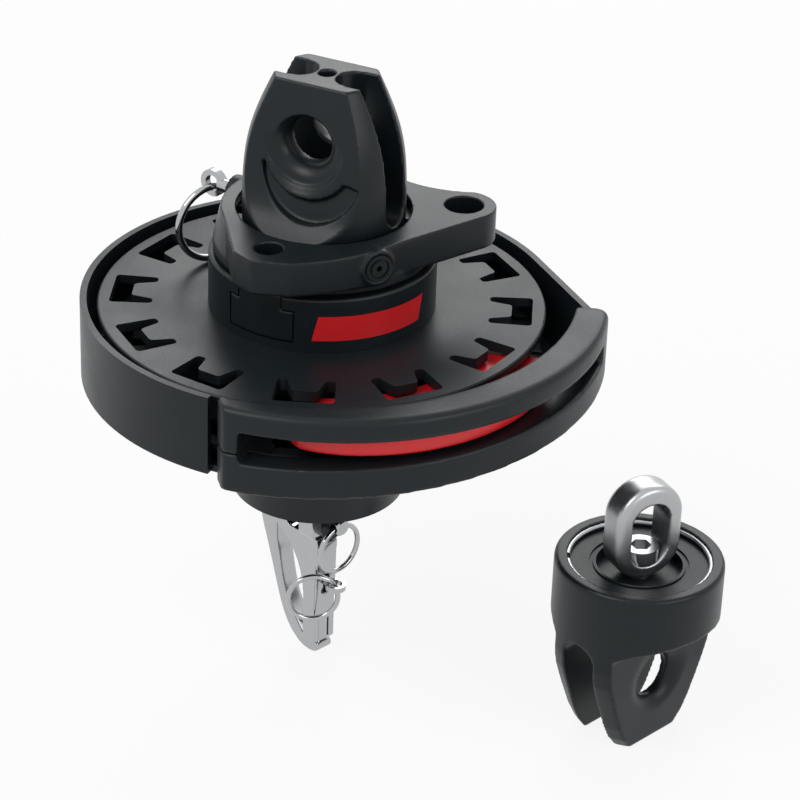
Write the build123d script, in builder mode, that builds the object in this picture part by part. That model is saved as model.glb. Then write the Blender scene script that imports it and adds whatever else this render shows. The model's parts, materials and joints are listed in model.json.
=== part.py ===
"""Top-down furler: drive unit with guard, drum, tack swivel and snap shackle, and its head swivel.

Millimetres, +Z up along the drum axis. The origin is the seat of the shackle bail,
where the deck ring pulls. The line slot of the guard faces -Y.
"""
import os
from math import cos, radians, sin

from build123d import *

# Heights on the drum axis
flange_z = 132.0          # top face of the upper grip flange above the bail seat
sleeve_h = 19.4           # hub sleeve above the flange
tack_bottom_h = 20.4      # tack swivel skirt above the flange
tack_plate_h = 23.0       # underside of the tack plate above the flange
tack_top_h = 35.0         # top of the tack plate above the flange
jaw_top_h = 82.0          # top of the jaw above the flange
jaw_pin_h = 62.5          # thimble pin axis above the flange

# Drum
flange_r = 75.0
flange_rim_t = 2.6
flange_root_t = 5.4
groove_w = 14.8           # width of the line groove at the flange rims
groove_root_r = 42.0      # bottom of the line groove
flange_bore_r = 29.0
sleeve_r = 38.0
hub_bore_r = 24.0
window_count = 12
window_r = 70.4           # outer wall of a grip window
window_root_r = 56.0      # tip of the finger slots
window_tongue_r = 63.5
window_half_w = 10.0
finger_w = 4.6
window_az = 147.4
drum_screw_r = 34.0
drum_screw_count = 6
drum_screw_d = 4.0
key_az = 239.0
key_w = 25.0
key_neck_w = 17.0
key_h = 16.4
key_foot_h = 11.6
key_depth = 3.2
key_tongue_w = 8.0
key_gap = 0.45

# Stem and main bearing
stem_r = 11.9
run_fit = 0.06            # radial clearance of running fits
thrust_ball_r = 2.5
thrust_pitch_r = 17.0
thrust_ball_count = 14
washer_t = 2.0
washer_in_r = 12.6
washer_out_r = 21.0
shelf_h = -3.0            # bearing shelf in the hub, below the flange top
nut_r = 19.5
nut_t = 4.3
bush_wall = 2.1
bush_len = 14.0

# Guard, base and feeder
guard_r = 80.6
guard_wall = 2.3
guard_top_h = 2.0
guard_bottom_h = -25.6
guard_tangent_az = 24.6
guard_gap_az = 246.0      # free end of the band
floor_top_h = -23.2
floor_t = 2.4
dome_r = 26.5
dome_bottom_h = -69.5
dome_wall = 3.0
feeder_top_h = 3.0
slot_top_h = -5.0
slot_bottom_h = -16.0
feeder_bottom_h = -27.6
post_seam_h = -13.0
stripper_t = 4.6
stripper_reach_in = 16.3  # inwards from the guard's inner wall
stripper_reach_out = 9.3
stripper_az = (266.0, 334.0)

# Tack swivel and its lock
tack_ring_r = 34.0
tack_skirt_r = 36.6
tack_bore_r = 29.0
tack_lip_t = 3.6
race_r = 31.0
race_roof_gap = 0.4       # between the race and the swivel's lip
race_top_h = tack_top_h - tack_lip_t - race_roof_gap
race_play = 0.6
column_r = 27.0
swivel_ball_r = 1.75
swivel_ball_count = 24
swivel_ball_rise = 3.0
swivel_ball_h = tack_bottom_h + swivel_ball_rise
arm_hole_r = 6.5
arm_hole = (46.0, 4.4)
arm_tip_r = 10.8
lug_hole_r = 4.6
lug_hole_az = 244.0
plug_az = 300.0
plug_h = (tack_plate_h + tack_top_h) / 2
plug_r = 4.6
lock_az = 145.0
lock_rise = 0.5           # lock pin above the middle of the plate
lock_h = plug_h + lock_rise
lock_pin_r = 2.3
lock_count = 12
lock_eye_r = 46.4
lock_boss_r = 5.2
lock_boss_rise = 1.4      # how far the boss stands out of the skirt
plug_boss_rise = 1.6
plug_boss_wall = 1.6
pull_ring_r = 13.4
pull_wire_r = 1.25
pull_ring_twist = 23.0

# Jaw
jaw_turn = 25.5           # cheeks turned from the line slot towards the left
jaw_gap = 13.0
jaw_pin_r = 7.8
jaw_mouth_r = 12.4
jaw_lip_r = 16.5          # rim of the shallow lip round the mouth
pin_straight_half = 10.4  # half length of the straight part of the pin bore
jaw_slot_root_h = 34.0
jaw_half_top = 11.5       # half depth over both cheeks at the top
jaw_half_pin = 15.2       # and at the pin axis
jaw_half_root = 21.0      # and low down, before the foot flares out
bridge_half_w = 10.0
bridge_waist_r = 6.1      # hollow ends of the bridge
bridge_t = 10.0
bridge_hole_r = 2.85

# Snap shackle, in its own plane: u towards its closed side, z upwards
shackle_az = -45.0
clevis_pin_z = 48.5
clevis_pin_r = 3.0
clevis_gap = 8.6
clevis_cheek_t = 4.4
clevis_cheek_r = 6.2
body_half_t = 4.8
bail_half_t = 3.4
bail_play = 0.25
bail_pivot = (-21.5, 46.0)
bail_pin_r = 1.9
prong_gap_half = 2.4
leg_right = 4.8
leg_left = -1.4
leg_bottom_z = -1.6
tongue_top_z = 8.0
plunger_r = 1.7
plunger_u = 1.8
plunger_travel = 4.0
lug_u = 10.2
lug_z = 23.5
small_ring_r = 8.7
small_wire_r = 0.95

# Head swivel, heights given downwards from its rim
head_place = (109.5, -38.5)
head_foot_z = -7.0
head_h = 67.0
head_r = 28.7
head_cup_h = 31.0
head_bore_r = 24.2
head_bore_depth = 15.9
head_pin_depth = 43.0
head_slot_depth = 23.5
head_turn = 45.0          # cheeks turned from the line slot towards the right
head_flat = 12.8          # half depth over both flats at the pin
head_half_foot = 12.0
head_foot_r = 17.5
head_pin_straight = 9.5
head_brow_root = 18.8     # depth of the cup's cone-shaped underside at the flats
head_brow_rim = 26.6      # and at its outer wall
head_ball_r = 2.0
head_ball_count = 16
head_pitch_r = 12.6
eye_w = 25.0
eye_t = 11.4
eye_top = 31.5            # above the rim
eye_bottom = -6.0
eye_hole_w = 14.4
eye_hole_top = 24.4
eye_hole_bottom = -0.6
eye_az = -62.0
snap_wire_r = 0.9


def at(h):
    """Height in the model of a height given from the flange top."""
    return flange_z + h


def polar(r, az):
    """Point at a radius and an azimuth in degrees."""
    return (r * cos(radians(az)), r * sin(radians(az)))


def ring_plane(az, h):
    """Plane whose normal points outwards along an azimuth, its x axis upwards."""
    out = Vector(cos(radians(az)), sin(radians(az)), 0)
    return Plane(origin=(0, 0, at(h)), x_dir=(0, 0, 1), z_dir=out)


pieces = []


def keep(part, name):
    """Name a finished piece and list it for export."""
    part.label = name
    pieces.append(part)
    return part


# Fixed side: stem, base housing, guard band, feeder and stripper
hub_bottom_h = -24.0 + 1.0
stem_flange_r = 17.0
stem_flange_h = -46.0
thread_r = 9.0

u_dir = Vector(cos(radians(shackle_az)), sin(radians(shackle_az)), 0)
n_dir = Vector(cos(radians(shackle_az - 90)), sin(radians(shackle_az - 90)), 0)
shackle_face = Plane(origin=(0, 0, 0), x_dir=u_dir, z_dir=n_dir)
shackle_side = Plane(origin=(0, 0, 0), x_dir=-n_dir, z_dir=u_dir)

ball_h = shelf_h + washer_t + thrust_ball_r
nut_bottom_h = shelf_h + 2 * washer_t + 2 * thrust_ball_r

neck_r = 13.0
neck_bottom_z = clevis_pin_z + 8.0
with BuildPart() as stem:
    with BuildSketch(Plane.XZ):
        with BuildLine():
            Polyline(
                (0, neck_bottom_z),
                (neck_r, neck_bottom_z),
                (neck_r, at(stem_flange_h) - 8),
                (stem_flange_r, at(stem_flange_h) - 4),
                (stem_flange_r, at(stem_flange_h)),
                (stem_r, at(stem_flange_h)),
                (stem_r, at(nut_bottom_h)),
                (thread_r, at(nut_bottom_h)),
                (thread_r, at(nut_bottom_h + nut_t)),
                (0, at(nut_bottom_h + nut_t)),
                close=True,
            )
        make_face()
    revolve(axis=Axis.Z)
    with BuildSketch(shackle_side):
        with Locations((0, clevis_pin_z)):
            Circle(clevis_cheek_r)
        with Locations((0, clevis_pin_z + 4.5)):
            Rectangle(2 * clevis_cheek_r, 9)
    extrude(amount=clevis_gap / 2 + clevis_cheek_t, both=True)
    with BuildSketch(shackle_side):
        with Locations((0, clevis_pin_z - 2)):
            Rectangle(3 * clevis_cheek_r, 20)
    extrude(amount=clevis_gap / 2, both=True, mode=Mode.SUBTRACT)
    with BuildSketch(shackle_side):
        with Locations((0, clevis_pin_z)):
            Circle(clevis_pin_r + run_fit)
    extrude(amount=neck_r, both=True, mode=Mode.SUBTRACT)
keep(stem.part, "stem")

with BuildPart() as stem_nut:
    with BuildSketch(Plane.XY.offset(at(nut_bottom_h))):
        Circle(nut_r)
        Circle(thread_r, mode=Mode.SUBTRACT)
    extrude(amount=nut_t)
    with BuildSketch(Plane.XY.offset(at(nut_bottom_h + nut_t))):
        with PolarLocations(nut_r, 4):
            Rectangle(6, 4)
    extrude(amount=-2, mode=Mode.SUBTRACT)
keep(stem_nut.part, "stem_nut")

bush_top_h = hub_bottom_h + bush_len
with BuildPart() as lower_bush:
    with BuildSketch(Plane.XZ):
        with BuildLine():
            Polyline(
                (stem_r + run_fit, at(hub_bottom_h - 2)),
                (stem_r + bush_wall + 3, at(hub_bottom_h - 2)),
                (stem_r + bush_wall + 3, at(hub_bottom_h)),
                (stem_r + bush_wall, at(hub_bottom_h)),
                (stem_r + bush_wall, at(bush_top_h)),
                (stem_r + run_fit, at(bush_top_h)),
                close=True,
            )
        make_face()
    revolve(axis=Axis.Z)
keep(lower_bush.part, "lower_bush")


# Feeder halves, stripper and their screws
feeder_left_az = 248.6
feeder_right_az = -1.5
guard_in_r = guard_r - guard_wall
feeder_left_depth = 7.7   # out from the guard's inner wall
feeder_front_depth = 11.7
feeder_front_az = 293.0
feeder_right_depth = 17.7
feeder_right_rise = 6.5
feeder_round = 2.2
feeder_corner_r = 4.5
slot_left_az = 254.6
slot_right_az = 350.0
tangent_end_x = 90.0
small_screw_d = 3.0
stripper_screw_depth = 4.1
stripper_screw_azs = (278.0, 322.0)
dome_rim_r = 62.0
dome_knee_r = 38.0        # outer profile of the dome, from its rim down
dome_knee_h = -38.0
dome_waist_r = 29.5
dome_waist_h = -54.0


def band_tail(radius):
    """End of the straight run that leaves a circle of the band at the tangent azimuth."""
    turn = polar(radius, guard_tangent_az)
    run = (tangent_end_x - polar(guard_r, guard_tangent_az)[0]) / sin(radians(guard_tangent_az))
    return (
        turn[0] + run * sin(radians(guard_tangent_az)),
        turn[1] - run * cos(radians(guard_tangent_az)),
    )


def feeder_plan(inset=0.0):
    """Comma-shaped plan of the feeder, thin at the post and wide at its right end."""
    with BuildSketch(mode=Mode.PRIVATE) as plan:
        with BuildLine():
            left_in = polar(guard_in_r, feeder_left_az)
            left_out = polar(guard_in_r + feeder_left_depth, feeder_left_az)
            front = polar(guard_in_r + feeder_front_depth, feeder_front_az)
            right_out = polar(guard_in_r + feeder_right_depth, feeder_right_az)
            right_in = polar(guard_in_r + feeder_right_rise, feeder_right_az)
            Line(left_in, left_out)
            ThreePointArc(left_out, front, right_out)
            Line(right_out, right_in)
            ThreePointArc(right_in, polar(guard_in_r + 0.7, feeder_front_az + 8), left_in)
        make_face()
        if inset:
            offset(amount=-inset)
        fillet(plan.vertices().sort_by_distance(right_out)[0], radius=feeder_corner_r)
    return plan.sketch


def feeder_end_block(h0, h1):
    """Post at the left end and block at the right end that close the line slot."""
    with BuildSketch(Plane.XY.offset(at(h0))) as ends:
        add(feeder_plan())
        with BuildLine(mode=Mode.PRIVATE) as wedge:
            Polyline(
                (0, 0),
                polar(2 * guard_r, slot_left_az),
                polar(2 * guard_r, feeder_front_az),
                polar(2 * guard_r, slot_right_az),
                close=True,
            )
        make_face(wedge.edges(), mode=Mode.SUBTRACT)
    return extrude(ends.sketch, amount=h1 - h0, mode=Mode.PRIVATE)


with BuildPart() as feeder_upper:
    with BuildSketch(Plane.XY.offset(at(slot_top_h))):
        add(feeder_plan())
    extrude(amount=feeder_top_h - slot_top_h)
    add(feeder_end_block(post_seam_h, slot_top_h))
    outer_rim = feeder_upper.edges().group_by(Axis.Z)[-1].filter_by(GeomType.CIRCLE)
    fillet(outer_rim.sort_by(SortBy.RADIUS)[-1], radius=feeder_round)
keep(feeder_upper.part, "feeder_upper")

with BuildPart() as feeder_lower:
    with BuildSketch(Plane.XY.offset(at(feeder_bottom_h))):
        add(feeder_plan())
    extrude(amount=slot_bottom_h - feeder_bottom_h)
    add(feeder_end_block(slot_bottom_h, post_seam_h))
keep(feeder_lower.part, "feeder_lower")

with BuildPart() as base_housing:
    with BuildSketch(Plane.XZ):
        with BuildLine():
            rim = Line((dome_rim_r, at(floor_top_h)), (dome_rim_r, at(floor_top_h - floor_t)))
            flare = Spline(
                rim @ 1,
                (dome_knee_r, at(dome_knee_h)),
                (dome_waist_r, at(dome_waist_h)),
                (dome_r, at(dome_bottom_h)),
                tangents=((-1, 0), (-0.1, -1)),
            )
            Polyline(
                flare @ 1,
                (dome_r - dome_wall, at(dome_bottom_h)),
                (dome_r - dome_wall, at(stem_flange_h - 6)),
                (stem_flange_r + 0.15, at(stem_flange_h - 6)),
                (stem_flange_r + 0.15, at(stem_flange_h)),
                (stem_r + 0.3, at(stem_flange_h)),
                (stem_r + 0.3, at(hub_bottom_h - 2)),
                (stem_flange_r, at(hub_bottom_h - 2)),
                (stem_flange_r + 3, at(stem_flange_h + 8)),
                (dome_r - 2.5, at(stem_flange_h + 9)),
                (dome_knee_r - 4, at(dome_knee_h + 5)),
                (dome_rim_r - 4, at(floor_top_h)),
                rim @ 0,
            )
        make_face()
    revolve(axis=Axis.Z)
    with BuildSketch(Plane.XY.offset(at(floor_top_h - floor_t))):
        Circle(guard_in_r)
        Polygon(
            (0, 0),
            polar(guard_in_r, guard_tangent_az),
            band_tail(guard_in_r),
            polar(guard_in_r, feeder_front_az),
            align=None,
        )
        Circle(dome_rim_r - 1, mode=Mode.SUBTRACT)
        add(feeder_plan(), mode=Mode.SUBTRACT)
    extrude(amount=floor_t)
keep(base_housing.part, "base_housing")


with BuildPart() as guard_band:
    with BuildSketch(Plane.XY.offset(at(guard_bottom_h))):
        with BuildLine():
            sweep_az = guard_gap_az - guard_tangent_az
            CenterArc((0, 0), guard_r, guard_tangent_az, sweep_az)
            Line(polar(guard_r, guard_tangent_az), band_tail(guard_r))
            Line(band_tail(guard_r), band_tail(guard_in_r))
            Line(band_tail(guard_in_r), polar(guard_in_r, guard_tangent_az))
            CenterArc((0, 0), guard_in_r, guard_tangent_az, sweep_az)
            Line(polar(guard_in_r, guard_gap_az), polar(guard_r, guard_gap_az))
        make_face()
        add(feeder_plan(), mode=Mode.SUBTRACT)
    extrude(amount=guard_top_h - guard_bottom_h)
keep(guard_band.part, "guard_band")

with BuildPart() as line_stripper:
    with BuildSketch(Plane.XY.offset(at(slot_top_h - stripper_t))) as crescent:
        with BuildLine():
            inner = CenterArc(
                (0, 0), guard_in_r - stripper_reach_in, stripper_az[0] + 4, stripper_az[1] - stripper_az[0] - 8
            )
            mid_az = sum(stripper_az) / 2
            outer = ThreePointArc(
                polar(guard_in_r, stripper_az[0] - 3),
                polar(guard_in_r + stripper_reach_out, mid_az),
                polar(guard_in_r + 2.5, stripper_az[1] + 3),
            )
            Line(inner @ 0, outer @ 0)
            Line(inner @ 1, outer @ 1)
        make_face()
        fillet(crescent.vertices(), radius=4)
    extrude(amount=stripper_t)
    nose = line_stripper.edges().group_by(Axis.Z)[0]
    fillet(nose, radius=1.6)
    with BuildSketch(Plane.XY.offset(at(slot_top_h - stripper_t))):
        for az in stripper_screw_azs:
            with Locations(polar(guard_in_r + stripper_screw_depth, az)):
                Circle(small_screw_d / 2)
    extrude(amount=stripper_t, mode=Mode.SUBTRACT)
keep(line_stripper.part, "line_stripper")


# Drum: hub, grip flanges, core ring, key tile, screws and main bearing
drum_screw_bite = 9.0
drum_screw_az = 30.0
screw_head_t = 2.4
cage_t = 1.6
ball_slack = 0.04
key_tongue_in = 1.6
key_face = ring_plane(key_az, 0)
jaw_seat_h = 11.2


def key_block(gap, r_out):
    """T-shaped block in the sleeve wall: a wide foot under a neck that reaches the rim."""
    with BuildPart(mode=Mode.PRIVATE) as block:
        with BuildSketch(Plane.XY.offset(at(sleeve_h - key_h + gap))):
            Circle(r_out)
            Circle(sleeve_r - key_depth, mode=Mode.SUBTRACT)
        extrude(amount=key_h - gap)
        with BuildSketch(key_face):
            with Locations((sleeve_h - key_h / 2, 0)):
                Rectangle(key_h, key_neck_w - 2 * gap)
            with Locations((sleeve_h - key_h + gap + (key_foot_h - 2 * gap) / 2, 0)):
                Rectangle(key_foot_h - 2 * gap, key_w - 2 * gap)
        extrude(amount=2 * sleeve_r, mode=Mode.INTERSECT)
    return block.part


def key_tongue(gap, r_in):
    """Tongue behind the key that reaches through the sleeve wall into the jaw."""
    with BuildPart(mode=Mode.PRIVATE) as tongue:
        with BuildSketch(key_face.offset(r_in)):
            with Locations((jaw_seat_h + 3.4, 0)):
                Rectangle(4 + 2 * gap, key_tongue_w + 2 * gap)
        extrude(amount=sleeve_r - key_depth + 0.5 - r_in)
    return tongue.part


groove_bottom_h = -flange_rim_t - groove_w
lower_face_h = groove_bottom_h - flange_rim_t
spigot_bottom_h = hub_bottom_h
core_top_h = -flange_root_t
core_bottom_h = lower_face_h + flange_root_t

with BuildPart() as hub:
    with BuildSketch(Plane.XZ):
        with BuildLine():
            Polyline(
                (hub_bore_r, at(sleeve_h)),
                (hub_bore_r, at(shelf_h)),
                (stem_r + 0.5, at(shelf_h)),
                (stem_r + 0.5, at(bush_top_h)),
                (stem_r + bush_wall, at(bush_top_h)),
                (stem_r + bush_wall, at(spigot_bottom_h)),
                (flange_bore_r, at(spigot_bottom_h)),
                (flange_bore_r, at(0)),
                (sleeve_r, at(0)),
                (sleeve_r, at(sleeve_h)),
                close=True,
            )
        make_face()
    revolve(axis=Axis.Z)
    rim = hub.edges().filter_by(GeomType.CIRCLE).group_by(Axis.Z)[-1].sort_by(SortBy.RADIUS)[-1]
    fillet(rim, radius=1.0)
    add(key_block(0, sleeve_r + 1), mode=Mode.SUBTRACT)
    add(key_tongue(0.2, hub_bore_r - 1), mode=Mode.SUBTRACT)
    with BuildSketch(Plane.XY.offset(at(0))):
        with PolarLocations(drum_screw_r, drum_screw_count, start_angle=drum_screw_az):
            Circle(drum_screw_d / 2)
    extrude(amount=drum_screw_bite, mode=Mode.SUBTRACT)
keep(hub.part, "hub")

with BuildPart() as hub_key:
    add(key_block(key_gap, sleeve_r))
    add(key_tongue(0, hub_bore_r - key_tongue_in))
    outline = hub_key.faces().sort_by(SortBy.AREA)[-1].outer_wire()
keep(hub_key.part, "hub_key")


def grip_flange(name, back_h, side):
    """Grip flange with its flat back at one height and its cone towards the groove."""
    with BuildPart() as flange:
        with BuildSketch(Plane.XZ):
            with BuildLine():
                Polyline(
                    (flange_bore_r, at(back_h)),
                    (flange_r, at(back_h)),
                    (flange_r, at(back_h + side * flange_rim_t)),
                    (groove_root_r, at(back_h + side * flange_root_t)),
                    (flange_bore_r, at(back_h + side * flange_root_t)),
                    close=True,
                )
            make_face()
        revolve(axis=Axis.Z)
        rim = flange.edges().filter_by(GeomType.CIRCLE).sort_by(SortBy.RADIUS)[-2:]
        fillet(rim, radius=0.8)
        with BuildSketch(Plane.XY.offset(at(back_h))) as windows:
            with PolarLocations(0, window_count, start_angle=window_az):
                add(window_outline())
        extrude(amount=side * 2 * flange_root_t, both=True, mode=Mode.SUBTRACT)
        with BuildSketch(Plane.XY.offset(at(back_h))):
            with PolarLocations(drum_screw_r, drum_screw_count, start_angle=drum_screw_az):
                Circle(drum_screw_d / 2)
        extrude(amount=side * 2 * flange_root_t, both=True, mode=Mode.SUBTRACT)
    return keep(flange.part, name)


def window_outline():
    """Window with two finger slots that reach in around a central tongue."""
    with BuildSketch(mode=Mode.PRIVATE) as window:
        inner_w = window_half_w - 0.6
        Polygon(
            (window_r, -window_half_w),
            (window_r, window_half_w),
            (window_root_r, inner_w),
            (window_root_r, inner_w - finger_w * 0.7),
            (window_tongue_r, inner_w - finger_w * 1.15),
            (window_tongue_r, -inner_w + finger_w * 1.15),
            (window_root_r, -inner_w + finger_w * 0.7),
            (window_root_r, -inner_w),
            align=None,
        )
        fillet(window.vertices(), radius=1.45)
    return window.sketch


grip_flange("upper_flange", 0, -1)
grip_flange("lower_flange", lower_face_h, 1)

with BuildPart() as core_ring:
    with BuildSketch(Plane.XY.offset(at(core_bottom_h))):
        Circle(groove_root_r)
        Circle(flange_bore_r, mode=Mode.SUBTRACT)
        with PolarLocations(drum_screw_r, drum_screw_count, start_angle=drum_screw_az):
            Circle(drum_screw_d / 2, mode=Mode.SUBTRACT)
    extrude(amount=core_top_h - core_bottom_h)
keep(core_ring.part, "core_ring")

with BuildPart() as drum_screws:
    with BuildSketch(Plane.XY.offset(at(lower_face_h - screw_head_t))):
        with PolarLocations(drum_screw_r, drum_screw_count, start_angle=drum_screw_az):
            Circle(drum_screw_d * 0.85)
            RegularPolygon(drum_screw_d * 0.45, 6, mode=Mode.SUBTRACT)
    extrude(amount=screw_head_t)
    with BuildSketch(Plane.XY.offset(at(lower_face_h))):
        with PolarLocations(drum_screw_r, drum_screw_count, start_angle=drum_screw_az):
            Circle(drum_screw_d / 2)
    extrude(amount=drum_screw_bite - 0.5 - lower_face_h)
keep(drum_screws.part, "drum_screws")

washer_points = (
    ("lower_washer", shelf_h),
    ("upper_washer", nut_bottom_h - washer_t),
)
for name, h in washer_points:
    with BuildPart() as washer:
        with BuildSketch(Plane.XY.offset(at(h))):
            Circle(washer_out_r)
            Circle(washer_in_r, mode=Mode.SUBTRACT)
        extrude(amount=washer_t)
    keep(washer.part, name)

with BuildPart() as thrust_cage:
    with BuildSketch(Plane.XY.offset(at(ball_h - cage_t / 2))):
        Circle(washer_out_r - 0.4)
        Circle(washer_in_r + 0.4, mode=Mode.SUBTRACT)
        with PolarLocations(thrust_pitch_r, thrust_ball_count):
            Circle(thrust_ball_r + 0.1, mode=Mode.SUBTRACT)
    extrude(amount=cage_t)
keep(thrust_cage.part, "thrust_cage")

with BuildPart() as thrust_balls:
    with Locations(Plane.XY.offset(at(ball_h))):
        with PolarLocations(thrust_pitch_r, thrust_ball_count):
            Sphere(thrust_ball_r - ball_slack)
keep(thrust_balls.part, "thrust_balls")


# Jaw that carries the torsion cable thimble
jaw_front_az = 270.0 - jaw_turn
jaw_out = Vector(cos(radians(jaw_front_az)), sin(radians(jaw_front_az)), 0)
jaw_face = Plane(origin=(0, 0, 0), x_dir=Vector(-jaw_out.Y, jaw_out.X, 0), z_dir=jaw_out)
jaw_side = Plane(origin=(0, 0, 0), x_dir=jaw_out, z_dir=Vector(jaw_out.Y, -jaw_out.X, 0))
bridge_bottom_h = jaw_top_h - bridge_t
lip_rise = 2.2


def pin_mouth(straight, face, lip_r):
    """Half section of the flared mouths at both ends of a pin bore, along its axis."""
    with BuildSketch(mode=Mode.PRIVATE) as mouth:
        with BuildLine():
            flare = TangentArc((straight, jaw_pin_r), (face, jaw_mouth_r), tangent=(1, 0))
            Polyline(
                flare @ 1,
                (face + lip_rise, lip_r),
                (2 * column_r, lip_r),
                (2 * column_r, 0),
                (straight, 0),
                flare @ 0,
            )
        make_face()
        mirror(about=Plane.YZ)
    return mouth.sketch


with BuildPart() as jaw:
    with BuildSketch(Plane.XZ):
        with BuildLine():
            foot = Polyline(
                (0, at(jaw_seat_h)),
                (hub_bore_r - 0.05, at(jaw_seat_h)),
                (hub_bore_r - 0.05, at(sleeve_h)),
                (column_r, at(sleeve_h)),
                (column_r, at(tack_top_h - 3)),
            )
            shoulder = Spline(
                foot @ 1,
                (24.6, at(jaw_pin_h)),
                (17.0, at(jaw_top_h)),
                tangents=((0, 1), (-0.45, 1)),
            )
            Polyline(shoulder @ 1, (0, at(jaw_top_h)), foot @ 0)
        make_face()
    revolve(axis=Axis.Z)
    with BuildSketch(jaw_side):
        with BuildLine():
            cheek = Polyline((jaw_half_top, at(jaw_top_h)), (jaw_half_pin, at(jaw_pin_h)))
            flare = Spline(
                cheek @ 1,
                (jaw_half_root, at(tack_top_h + 3)),
                (column_r + 1, at(tack_top_h - 4)),
                tangents=((0.19, -1), (1.2, -1)),
            )
            low = Polyline(flare @ 1, (column_r + 1, at(jaw_seat_h - 1)), (0, at(jaw_seat_h - 1)))
            Line(low @ 1, (0, at(jaw_top_h)))
            Line((0, at(jaw_top_h)), cheek @ 0)
        make_face()
        mirror(about=Plane.YZ)
    extrude(amount=2 * column_r, both=True, mode=Mode.INTERSECT)
    with BuildSketch(jaw_side):
        root = jaw_slot_root_h + jaw_gap / 2
        with Locations((0, at(root))):
            Circle(jaw_gap / 2)
        with Locations((0, at((root + jaw_top_h + 1) / 2))):
            Rectangle(jaw_gap, jaw_top_h + 1 - root)
    extrude(amount=2 * column_r, both=True, mode=Mode.SUBTRACT)
    with BuildSketch(jaw_face):
        with Locations((0, at(bridge_bottom_h + bridge_t / 2))):
            Rectangle(2 * bridge_half_w, bridge_t)
    extrude(amount=jaw_gap / 2, both=True)
    with BuildSketch(Plane(origin=(0, 0, at(jaw_top_h)), x_dir=jaw_face.x_dir)):
        Circle(bridge_hole_r)
        with Locations((-bridge_half_w, 0), (bridge_half_w, 0)):
            Circle(bridge_waist_r)
    extrude(amount=-bridge_t, mode=Mode.SUBTRACT)
    with BuildSketch(jaw_face):
        with Locations((0, at(jaw_pin_h))):
            Circle(jaw_pin_r)
    extrude(amount=2 * column_r, both=True, mode=Mode.SUBTRACT)
    with BuildSketch(jaw_side):
        with Locations((0, at(jaw_pin_h))):
            add(pin_mouth(pin_straight_half, jaw_half_pin, jaw_lip_r))
    revolve(axis=Axis((0, 0, at(jaw_pin_h)), jaw_out), mode=Mode.SUBTRACT)
    add(key_tongue(0.2, hub_bore_r - key_tongue_in), mode=Mode.SUBTRACT)
keep(jaw.part, "jaw")


# Tack swivel, its ball race and its lock pin
race_gap = race_r + race_play
lug_corner = polar(46.0, 233.5)
lug_nose = polar(48.0, 243.5)
lug_front = polar(45.2, 258.0)
side_bulge = polar(38.8, 285.0)
side_end = polar(36.2, 316.0)
groove_r = swivel_ball_r + 0.1
ball_pitch_r = race_r + race_play / 2
plug_seat_r = race_gap + 2.0
eye_hole_r = 2.8
eye_half_t = 1.3
slot_rise = race_top_h - lock_h + 3.5


def ball_groove():
    """Ring-shaped track of the swivel balls."""
    with BuildPart(Plane.XY.offset(at(swivel_ball_h)), mode=Mode.PRIVATE) as track:
        Torus(ball_pitch_r, groove_r)
    return track.part


with BuildPart() as swivel_race:
    with BuildSketch(Plane.XY.offset(at(sleeve_h))):
        Circle(race_r)
        Circle(column_r, mode=Mode.SUBTRACT)
    extrude(amount=race_top_h - sleeve_h)
    add(ball_groove(), mode=Mode.SUBTRACT)
    for slot in range(lock_count):
        with BuildSketch(ring_plane(lock_az + slot * 360 / lock_count, 0)):
            with Locations((lock_h + slot_rise, 0)):
                Rectangle(2 * slot_rise, 2 * lock_pin_r + 0.8)
            with Locations((lock_h, 0)):
                Circle(lock_pin_r + 0.4)
        extrude(amount=2 * race_r, mode=Mode.SUBTRACT)
keep(swivel_race.part, "swivel_race")

with BuildPart() as swivel_balls:
    with Locations(Plane.XY.offset(at(swivel_ball_h))):
        with PolarLocations(ball_pitch_r, swivel_ball_count):
            Sphere(swivel_ball_r)
keep(swivel_balls.part, "swivel_balls")

lock_face = ring_plane(lock_az, lock_h)
plug_face = ring_plane(plug_az, plug_h)

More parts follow.
